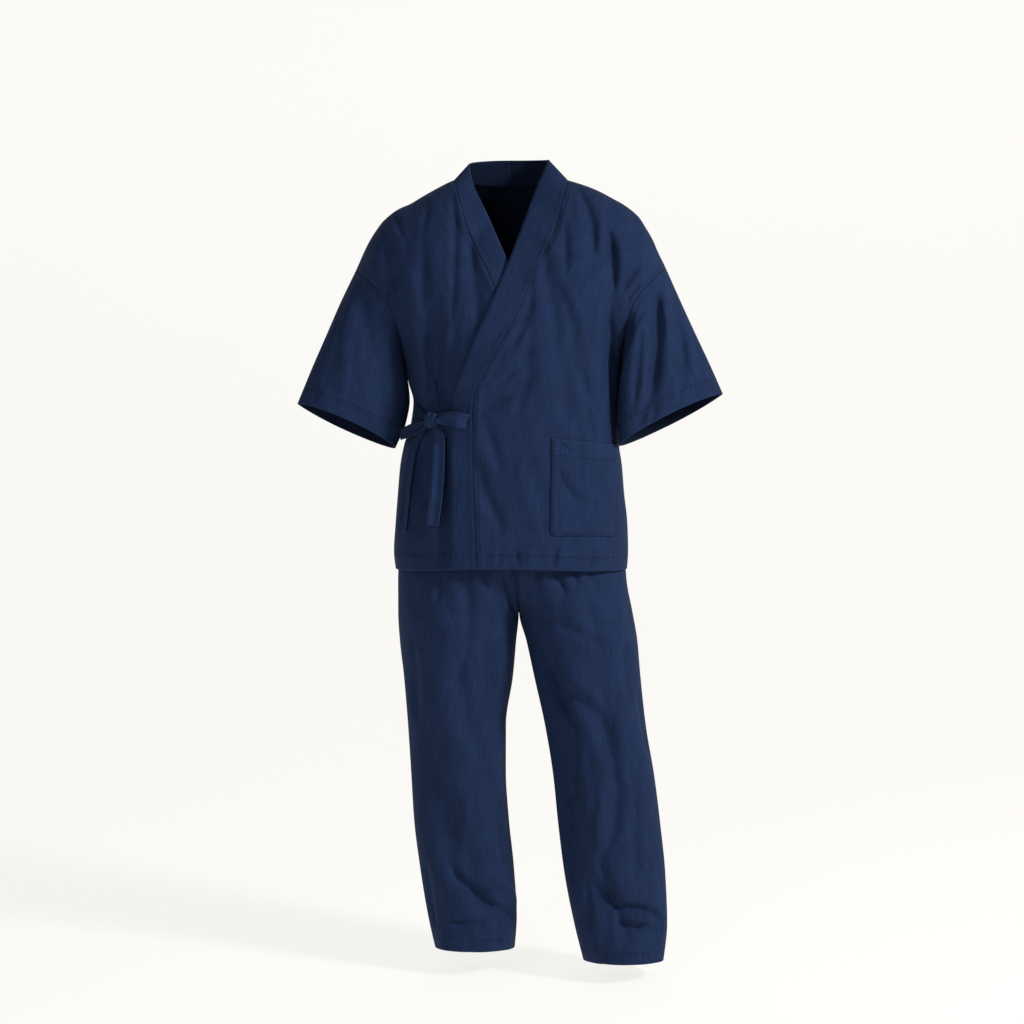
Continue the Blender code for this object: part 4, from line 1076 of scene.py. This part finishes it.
@dataclass
class Trousers:
    """Four trouser panels and the waistband."""

    finish: ClothFinish
    cloth: Cloth
    crotch_z: float = -0.797
    crotch_rise: float = 0.125
    crotch_power: float = 1.25
    seam_calm: float = 0.06
    waist_z: float = -0.5103
    band_top_z: float = -0.475
    hem_rise: float = 0.10
    hem_reach: float = 0.35
    waist_power: float = 1.5
    seed: int = 30
    uneven: float = 0.0010
    gather: float = 0.006
    gathers: float = 64.0
    columns: int = 84
    rows: tuple = (161, 61)
    waist_grid: tuple = (385, 9)
    waist_wall: float = 0.0024
    lines: tuple = (StitchLine("low", 0.022, Grain.ACROSS),
                    StitchLine("first", 0.0085, Grain.ALONG),
                    StitchLine("last", 0.0075, Grain.ALONG))
    waist_line: StitchLine = StitchLine("high", 0.003, Grain.ACROSS)
    hem_z: dict = own({Side.LEFT: -1.448, Side.RIGHT: -1.438})
    legs: Table = Table(
        "z right_out right_in left_out left_in centre depth right_y left_y", (
            (-1456, 140.2, 5.8, 286.4, 138, 15.2, 75.5, 4, -52.5),
            (-1380, 157.2, 11.2, 294, 119, 15.2, 78, 4, -50),
            (-1285, 172.5, 5.8, 290.2, 100.5, 15.2, 81, 4, -46),
            (-1193, 183.6, -3.7, 280.8, 88.8, 15.2, 84, 3, -42),
            (-1100, 189, -9.5, 269, 79.2, 15.2, 88, 2, -37),
            (-1010, 194.4, -9.3, 253.8, 64.5, 15.2, 95, 0, -28),
            (-918, 201.7, 3.9, 243.7, 44, 15.2, 106, 0, -15),
            (-850, 209.2, 10, 238, 29, 15.2, 116, 0, -5),
            (-797, 212.2, 14.9, 229, 15.5, 15.2, 124, 0, 0),
            (-740, 212.2, 14.9, 218, 15.5, 10, 129, 0, 0),
            (-690, 210.5, 14.9, 213.8, 15.5, 5, 131, 0, 0),
            (-600, 199, 14.9, 202, 15.5, 0, 128, 0, 0),
            (-500, 174, 14.9, 184, 15.5, 0, 120, 0, 0)), MM)
    creases: dict = own({
        (Side.RIGHT, Face.FRONT): creased(
            (-105, -1290, -10, -1395, 0, 7, 14), (-110, -830, -60, -1060, 0, 6, 20),
            (-40, -810, -120, -930, 0, 6, 16), (-90, -713, -83, -867, -11, 5, 12),
            (-48, -698, -42, -739, 0, 3, 5), (-72, -698, -76, -724, 0, 2, 4.5),
            (-11, -713, 9, -787, -3, 5, 8), (-46, -840, -30, -1030, -6, 9, 20),
            (-113, -802, -113, -974, 0, -3, 12), (-150, -980, -105, -1300, 12, 10, 24),
            (-122, -1120, -42, -1335, 8, 11.5, 21), (-110, -1275, -32, -1349, 4, 7, 11),
            (-35, -1345, 4, -1378, -4, 5, 7), (-26, -1298, 9, -1366, -8, -4, 7),
            (-118, -1378, -45, -1380, 4, 5, 8.5), (-162, -1268, -144, -1393, 2, 3, 7),
            (-20, -839, -28, -951, 0, 3, 9), (-183, -839, -176, -989, 0, 3, 8),
            (-80, -1139, -91, -1234, 0, -2.5, 10), (-20, -1196, -13, -1272, 0, 3, 6),
            (-131, -709, -135, -765, 0, 2.5, 6), (-20, -1428, -22, -1403, 0, 1.6, 3.5),
            (-121, -1434, -123, -1411, 0, 1.6, 3.5)),
        (Side.LEFT, Face.FRONT): creased(
            (155, -1290, 180, -1370, 0, 6, 13), (200, -1365, 270, -1385, 0, 6, 12),
            (40, -870, 110, -990, 0, 7, 16), (150, -780, 185, -1060, 0, 5, 20),
            (83, -697, 101, -746, 3, 3.5, 6), (118, -697, 123, -732, 0, 3, 5),
            (145, -697, 158, -746, 0, 3, 7), (53, -697, 50, -724, 0, 2.5, 5),
            (24, -802, 68, -928, 3, 7, 9), (39, -845, 68, -906, 0, 4, 5),
            (46, -887, 92, -973, 5, 4.5, 6), (87, -924, 194, -1096, -32, 10, 17),
            (68, -900, 108, -1280, -6, 15, 38), (150, -1290, 215, -1395, -12, 10, 18),
            (192, -1087, 180, -1218, -8, 10, 15), (68, -798, 164, -839, 0, 3, 10),
            (238, -947, 261, -1062, 0, 3, 6), (229, -1096, 230, -1284, -4, 4, 9),
            (128, -1059, 143, -1246, 0, -3, 13), (168, -1230, 198, -1346, 8, 6, 11),
            (195, -1337, 272, -1356, -6, 6.5, 8.5), (267, -1344, 270, -1385, -7, 3, 6),
            (206, -1359, 258, -1365, 0, -3, 6), (221, -1384, 255, -1372, 0, 3, 4),
            (113, -984, 113, -1133, 0, 3, 9), (210, -835, 220, -947, 0, 3, 9),
            (165, -1133, 161, -1227, 0, -2.5, 9), (136, -1284, 147, -1378, 0, 3, 6),
            (173, -1454, 171, -1428, 0, 1.6, 3.5), (244, -1441, 242, -1418, 0, 1.6, 3.5)),
        (Side.RIGHT, Face.BACK): creased(
            (-150, -830, -40, -880, 0, 7, 18), (-100, -1080, -80, -1330, 0, 5, 18),
            (-170, -860, -60, -930, 12, 5, 11), (-20, -870, -80, -960, -6, 4, 9),
            (-130, -990, -140, -1200, 8, 4, 12), (-40, -1060, -50, -1240, -5, 3, 11),
            (-150, -1300, -60, -1370, 10, 5, 8), (-40, -1330, -100, -1400, 6, 4, 7),
            (-120, -720, -118, -790, 2, 3, 6), (-60, -715, -64, -780, 2, 3, 6)),
        (Side.LEFT, Face.BACK): creased(
            (200, -830, 60, -890, 0, 7, 18), (190, -1080, 200, -1330, 0, 5, 18),
            (220, -870, 90, -960, -12, 5, 11), (40, -880, 110, -990, 8, 4, 9),
            (150, -990, 165, -1200, 8, 4, 12), (230, -1060, 240, -1260, 5, 3, 11),
            (160, -1310, 250, -1375, -10, 5, 8), (260, -1340, 190, -1410, 6, 4, 7),
            (130, -720, 128, -790, 2, 3, 6), (70, -715, 74, -780, 2, 3, 6))})

    def plan(self, side: Side, v: Grid) -> tuple:
        """Return a leg's height, middle, reach and turn at each row.

        Args:
            side: The leg's side.
            v: Places from hem, 0, by the crotch, 1, to the waist, 2.

        Returns:
            z, middle x, reach and last angle.
        """
        name, sign = side.name.lower(), side.value
        rise = np.maximum(v - 1.0, 0.0) ** self.waist_power
        z = np.where(v <= 1.0, mix(self.hem_z[side], self.crotch_z, v),
                     mix(self.crotch_z, self.waist_z, rise))
        climb = np.clip((z - self.crotch_z) / self.crotch_rise, 0.0, 1.0) ** self.crotch_power
        turned = np.where(v <= 1.0, 0.0, np.sqrt(1.0 - (1.0 - climb) ** 2))
        out_x = sign * self.legs.at(name + "_out", z)
        in_x = np.where(v <= 1.0, self.legs.at(name + "_in", z), self.legs.at("centre", z))
        reach = np.abs(out_x - in_x) / (1.0 + np.sqrt(1.0 - turned ** 2))
        return z, out_x - sign * reach, reach, np.pi - np.arcsin(turned)

    def place(self, side: Side, face: Face, u: Grid, v: Grid) -> tuple:
        """Return points of a panel; u runs from the side seam to the inner seam.

        Args:
            side: The leg's side.
            face: Front or back.
            u: Places across, 0 to 1.
            v: Places from hem, 0, by the crotch, 1, to the waist, 2.

        Returns:
            x, y and z.
        """
        sign, toward = side.value, face.value
        z, middle, reach, last = self.plan(side, v)
        angle = u * last
        depth = self.legs.at("depth", z)
        flat_x = middle + sign * reach * np.cos(angle)
        fade = smooth(0.0, 0.5, np.sin(angle)) * smooth(0.0, self.seam_calm, 1.0 - u)
        folds = creases_at(self.creases[(side, face)], flat_x, z)
        seed = self.seed + 2 * sign + toward
        folds = (folds - crumple(flat_x, z, seed, self.uneven)) * fade
        x = middle + sign * (reach - folds) * np.cos(angle)
        bulge = np.maximum((depth - folds) * np.sin(angle), 0.0)
        y = toward * bulge + self.legs.at(side.name.lower() + "_y", z)
        return x, y, z - (self.hem_rise * toward * bulge
                          * (1.0 - smooth(0.0, self.hem_reach, v)))

    def core(self, side: Side, _: Grid, v: Grid) -> tuple:
        """Return the middle line of a leg."""
        z, middle = self.plan(side, v)[:2]
        return middle, self.legs.at(side.name.lower() + "_y", z), z

    def waist(self, u: Grid, v: Grid) -> tuple:
        """Return points of the waistband ring, with its gathers."""
        angle = 2.0 * np.pi * u
        z = mix(self.waist_z, self.band_top_z, v)
        low = np.full_like(u, self.waist_z)
        wide = np.where(np.cos(angle) >= 0.0, self.legs.at("left_out", low),
                        self.legs.at("right_out", low))
        wave = np.sin(angle * self.gathers + 0.6 * np.sin(5.0 * angle))
        gather = 1.0 - self.gather * (1.0 + wave)
        gather = mix(1.0, gather, np.sin(np.pi * v) ** 0.4)
        return (wide * gather * np.cos(angle),
                self.legs.at("depth", low) * gather * np.sin(angle), z)

    def build(self) -> None:
        """Build and dress the panels and the waistband."""
        low, high = (np.linspace(0.0, 1.0, count) for count in self.rows)
        rows = np.concatenate([low, 1.0 + high[1:]])
        for part in Side:
            for face in Face:
                name = "trouser_%s_%s" % (face.name.lower(), part.name.lower())
                paint = self.finish.material(name, self.lines, ("low",))
                self.cloth.sheet(name, partial(self.place, part, face), self.columns, rows,
                                 partial(self.core, part), paint, (0.40, 0.98), area=0.29)
        paint = self.finish.material("waistband", (self.waist_line,), ("high",))
        self.cloth.sheet("waistband", self.waist, *self.waist_grid, lambda u, v: (
            np.zeros_like(u), np.zeros_like(u), self.waist(u, v)[2]), paint, (1.05, 0.036),
            "gathered", wall=self.waist_wall, closed=True)


@dataclass
class Ties:
    """The knot, straps, loops and free tails of the tie."""

    form: JacketForm
    finish: ClothFinish
    cloth: Cloth
    width: float = 0.020
    flat_width: float = 0.0235
    wall: float = 0.0016
    clear: float = 0.0012
    # Painted shade: tie pieces that hang in shade get a darker copy of the finish by these shares.
    painted_shade_tones: dict = own({
        "tie_loop_left": 0.72, "tie_strap_side": 0.80, "tie_tail_side": 1.0})
    # Painted light: the rest of the tie, the knot too, gets a copy of the finish lighter by this
    # share.
    painted_light_share: float = 1.18
    cup: float = 0.012
    uneven: float = 0.00025
    knot: tuple = (-0.1450, -0.1130, -0.4312)
    knot_half: tuple = (0.0138, 0.0090, 0.0150)
    knot_facing: float = 36.0
    knot_square: float = 0.62
    knot_size: float = 0.96
    knot_grid: tuple = (96, 64)
    core_off: float = -0.01
    probe: float = 0.01
    columns: int = 11
    rows: dict = own({"lying": 91, "loop": 121})
    lines: tuple = (StitchLine("first", 0.0018, Grain.ALONG),
                    StitchLine("last", 0.0018, Grain.ALONG))
    lengths: dict = own({
        "tie_strap_front": 0.030, "tie_strap_side": 0.052, "tie_tail_front": 0.196,
        "tie_tail_side": 0.216, "tie_loop_left": 0.150, "tie_loop_right": 0.152})
    lying: dict = own({
        "tie_strap_front": Table("share x off z facing roll wide", (
            (0, -109.5, 9, -429, 24, 0, 1), (0.5, -117, 8.8, -429.5, 30, 0, 0.9),
            (1, -136.2, 7, -430, 34, 0, 0.7)), MM),
        "tie_strap_side": Table("share x off z facing roll wide", (
            (0, -179.5, 4.6, -412.5, 64, 0, 1), (0.5, -169, 4, -418.5, 52, 0, 0.9),
            (1, -153, 5, -426.5, 42, 0, 0.6)), MM),
        "tie_tail_front": Table("share x off z facing roll wide", (
            (0, -139, 5, -442.5, 30, 0, 0.45), (0.2, -131, 5, -464, 20, 0, 1.08),
            (0.55, -133.2, 6, -530, 14, 0, 1.15), (1, -143.2, 6, -623, 12, 0, 1.18)), MM),
        "tie_tail_side": Table("share x off z facing roll wide", (
            (0, -158, 5.6, -441, 46, 0, 0.5), (0.25, -176.5, 3.4, -470, 50, 0, 1.05),
            (0.5, -187, 3, -520, 54, 0, 1.15), (0.75, -194.5, 3, -580, 54, 0, 1.15),
            (1, -200, 3, -638, 54, 0, 1.15)), MM)})
    loops: dict = own({
        "tie_loop_left": Table("share x off z roll wide", (
            (0, -154.5, -4, -434.5, 0, 0.5), (0.167, -166.5, -14, -440.5, 0, 0.85),
            (0.333, -184.5, -31, -449.5, 0, 1), (0.5, -204, -44, -459, 0, 1),
            (0.667, -189.5, -24, -453.5, 0, 1), (0.833, -170.5, -7, -444, 0, 0.85),
            (1, -155, 1, -437.5, 0, 0.5)), MM),
        "tie_loop_right": Table("share x off z roll wide", (
            (0, -138.5, 4, -429, 0, 0.45), (0.167, -118, 23, -424, 0, 0.9),
            (0.333, -96, 34, -426.5, -6, 1.2), (0.5, -79, 40, -431.2, -16, 1.25),
            (0.667, -96, 45, -429.5, -6, 1.25), (0.833, -117, 31, -427, 0, 1.05),
            (1, -138, 8, -430.5, 0, 0.45)), MM)})

    def centre(self, name: str, share: Grid) -> Grid:
        """Return the centre line of a strap at shares of its length."""
        rows = self.lying.get(name) or self.loops[name]
        x, off, z = (rows.at(key, share) for key in ("x", "off", "z"))
        if name in self.lying:
            keys = rows.rows
            row_y = (-self.form.depth(keys[:, 1], keys[:, 3], Face.FRONT, fine=False)
                     - (keys[:, 2] + self.clear) / np.cos(np.radians(keys[:, 4])))
            y = Table("share y", np.stack([keys[:, 0], row_y], axis=1)).at("y", share)
        else:
            y = self.knot[1] - off
        return np.stack([x, y, z], axis=-1)

    def frames(self, name: str, count: int) -> tuple:
        """Return centre line, outward and sideways directions, and widths of a strap.

        Args:
            name: The strap's node name.
            count: Number of places along it.

        Returns:
            Centres, outward directions, sideways directions and width shares.
        """
        rows = self.lying.get(name) or self.loops[name]
        share = np.linspace(0.0, 1.0, count)
        centre = self.centre(name, share)
        along = (self.centre(name, np.minimum(share + self.probe, 1.0))
                 - self.centre(name, np.maximum(share - self.probe, 0.0)))
        along /= np.linalg.norm(along, axis=1, keepdims=True)
        if name in self.loops:
            outward = np.cross([0.0, 0.0, 1.0], along)
        else:
            facing = np.radians(rows.at("facing", share))
            outward = np.stack([-np.sin(facing), -np.cos(facing), 0.0 * facing], axis=1)
            outward -= along * np.sum(outward * along, axis=1, keepdims=True)
        outward /= np.linalg.norm(outward, axis=1, keepdims=True)
        side = np.cross(along, outward)
        roll = np.radians(rows.at("roll", share))[:, None]
        turned = outward * np.cos(roll) + side * np.sin(roll)
        return centre, turned, np.cross(along, turned), rows.at("wide", share)

    def strap(self, name: str) -> None:
        """Build one flat strap as a thin strip that cups a little near the knot."""
        count = self.rows["loop" if name in self.loops else "lying"]
        centre, outward, side, wide = self.frames(name, count)

        def strip(u: Grid, v: Grid, out: float = 0.0) -> tuple:
            """Return points of the strap's middle layer, moved out by so much."""
            row = np.rint(v * (count - 1)).astype(int)
            across = (u - 0.5) * self.width * wide[row]
            cup = (1.0 - wide[row]) * self.cup * (0.5 - (2.0 * u - 1.0) ** 2)
            lift = out + cup + self.uneven * np.sin(v * 31.0 + u * 5.0)
            point = centre[row] + side[row] * across[..., None] + outward[row] * lift[..., None]
            return tuple(np.moveaxis(point, -1, 0))

        # Painted light and shade: each strap's finish is the base tone scaled by its own share.
        paint = self.finish.copy_with_painted_light(self.painted_shade_tones.get(name, self.painted_light_share)).material(name, self.lines)
        self.cloth.sheet(name, strip, self.columns, count, partial(strip, out=self.core_off),
                         paint, (self.flat_width, self.lengths[name]),
                         "hung" if "tail" in name else "laid", wall=self.wall, centred=True)

    def build(self) -> None:
        """Build and dress the knot, straps, loops and tails."""
        # Painted light: the knot's finish is a lighter copy of the cloth.
        paint = self.finish.copy_with_painted_light(self.painted_light_share).material("tie_knot", (), ())
        bm = bmesh.new()
        bmesh.ops.create_uvsphere(bm, u_segments=self.knot_grid[0], v_segments=self.knot_grid[1],
                                  radius=1.0, calc_uvs=True)
        uv = bm.loops.layers.uv.new("cloth")
        turn = Matrix.Rotation(math.radians(-self.knot_facing), 3, "Z")
        for vert in bm.verts:
            x, y, z = vert.co
            wrap = 0.055 * math.cos(9.0 * x + 2.2 * z) + 0.05 * math.cos(5.0 * z - 2.0 * x + 1.0)
            pinch = 0.12 * math.exp(-((x + 0.25 * z - 0.30) / 0.12) ** 2)
            squared = [math.copysign(abs(c) ** self.knot_square, c) * half * (1 + wrap - pinch)
                       for c, half in zip((x, y, z), self.knot_half)]
            vert.co = turn @ Vector(squared) * self.knot_size + Vector(self.knot)
        for face in bm.faces:
            face.smooth = True
            for loop in face.loops:
                loop[uv].uv = (loop.vert.co.x + loop.vert.co.y, loop.vert.co.z)
        bmesh.ops.recalc_face_normals(bm, faces=bm.faces)
        settle(stand(bm, "tie_knot_cloth", paint), "tie_knot")
        for name in self.lengths:
            self.strap(name)


@dataclass
class Studio:
    """Pale floor and backdrop, soft lights and the camera."""

    floor_z: float = -1.482
    floor_near: float = -6.0
    floor_far: float = 3.0
    floor_half: float = 9.0
    run: float = 16.0
    bend: float = 2.0
    steps: int = 60
    lens: float = 90.2
    camera_at: tuple = (0.002, -4.8, -0.22)
    camera_down: float = 4.62
    white: tuple = (0.973, 0.967, 0.938, 1.0)
    paper: tuple = (0.22, 0.21, 0.20, 1.0)
    glow: float = 0.845
    ambient: float = 0.20

    def backdrop(self) -> None:
        """Build the floor that curves up into a wall."""
        bm = bmesh.new()
        bmesh.ops.create_grid(bm, x_segments=2, y_segments=self.steps, size=1.0)
        for vert in bm.verts:
            y = self.floor_near + (vert.co.y + 1.0) / 2.0 * self.run
            past = max(0.0, y - self.floor_far)
            angle = min(past / self.bend, math.pi / 2)
            climb = max(0.0, past - self.bend * math.pi / 2)
            vert.co = Vector((
                vert.co.x * self.floor_half, min(y, self.floor_far) + self.bend * math.sin(angle),
                self.floor_z + self.bend * (1.0 - math.cos(angle)) + climb))
        for face in bm.faces:
            face.smooth = True
        paint = Paint("backdrop_paper")
        shader = paint.node("ShaderNodeBsdfPrincipled", {}, {
            "Base Color": self.paper, "Roughness": 0.9, "Specular IOR Level": 0.0,
            "Emission Color": self.white, "Emission Strength": self.glow})
        stand(bm, "backdrop", paint.finished(shader))

    def light(self, name: str, at: tuple, aim: tuple, size: float, power: float) -> None:
        """Add one soft area light.

        Args:
            name: The light's name.
            at: Its place.
            aim: The point that it shines at.
            size: Its width in metres.
            power: Its power in watts.
        """
        data = bpy.data.lights.new(name, "AREA")
        data.shape = "DISK"
        data.size = size
        data.energy = power
        lamp = bpy.data.objects.new(name, data)
        lamp.location = at
        lamp.rotation_euler = (Vector(aim) - Vector(at)).to_track_quat("-Z", "Y").to_euler()
        bpy.context.scene.collection.objects.link(lamp)

    def build(self) -> None:
        """Build the stage, the lights and the camera."""
        self.backdrop()
        world = bpy.data.worlds.new("studio")
        world.use_nodes = True
        world.node_tree.nodes["Background"].inputs["Color"].default_value = self.white
        world.node_tree.nodes["Background"].inputs["Strength"].default_value = self.ambient
        scene = bpy.context.scene
        scene.world = world
        scene.view_settings.view_transform = "Standard"
        self.light("key", (3.5, -2.3, 1.7), (0.0, 0.0, -0.6), 0.9, 200.0)
        self.light("fill", (-1.5, -3.8, 1.2), (0.0, 0.0, -0.7), 1.6, 26.0)
        data = bpy.data.cameras.new("camera")
        data.lens = self.lens
        data.sensor_width = 36.0
        camera = bpy.data.objects.new("camera", data)
        camera.location = self.camera_at
        camera.rotation_euler = (math.radians(90.0 - self.camera_down), 0.0, 0.0)
        scene.collection.objects.link(camera)
        scene.camera = camera


def main() -> None:
    """Build every piece of the set and its studio."""
    logging.basicConfig(level=logging.INFO, format="%(message)s")
    Studio().build()
    form, finish = JacketForm(), ClothFinish()
    # Painted shade: the walls' inner side is the cloth darkened to 0.42 of its tone.
    cloth = Cloth(finish.copy_with_painted_light(0.42).material("cloth_inside_painted_shade", (), ()))
    JacketBody(form, finish, cloth).build()
    Bands(form, finish, cloth).build()
    Sleeves(form, finish, cloth).build()
    Pocket(form, finish, cloth).build()
    Trousers(finish, cloth).build()
    Ties(form, finish, cloth).build()


if __name__ == "__main__":
    main()
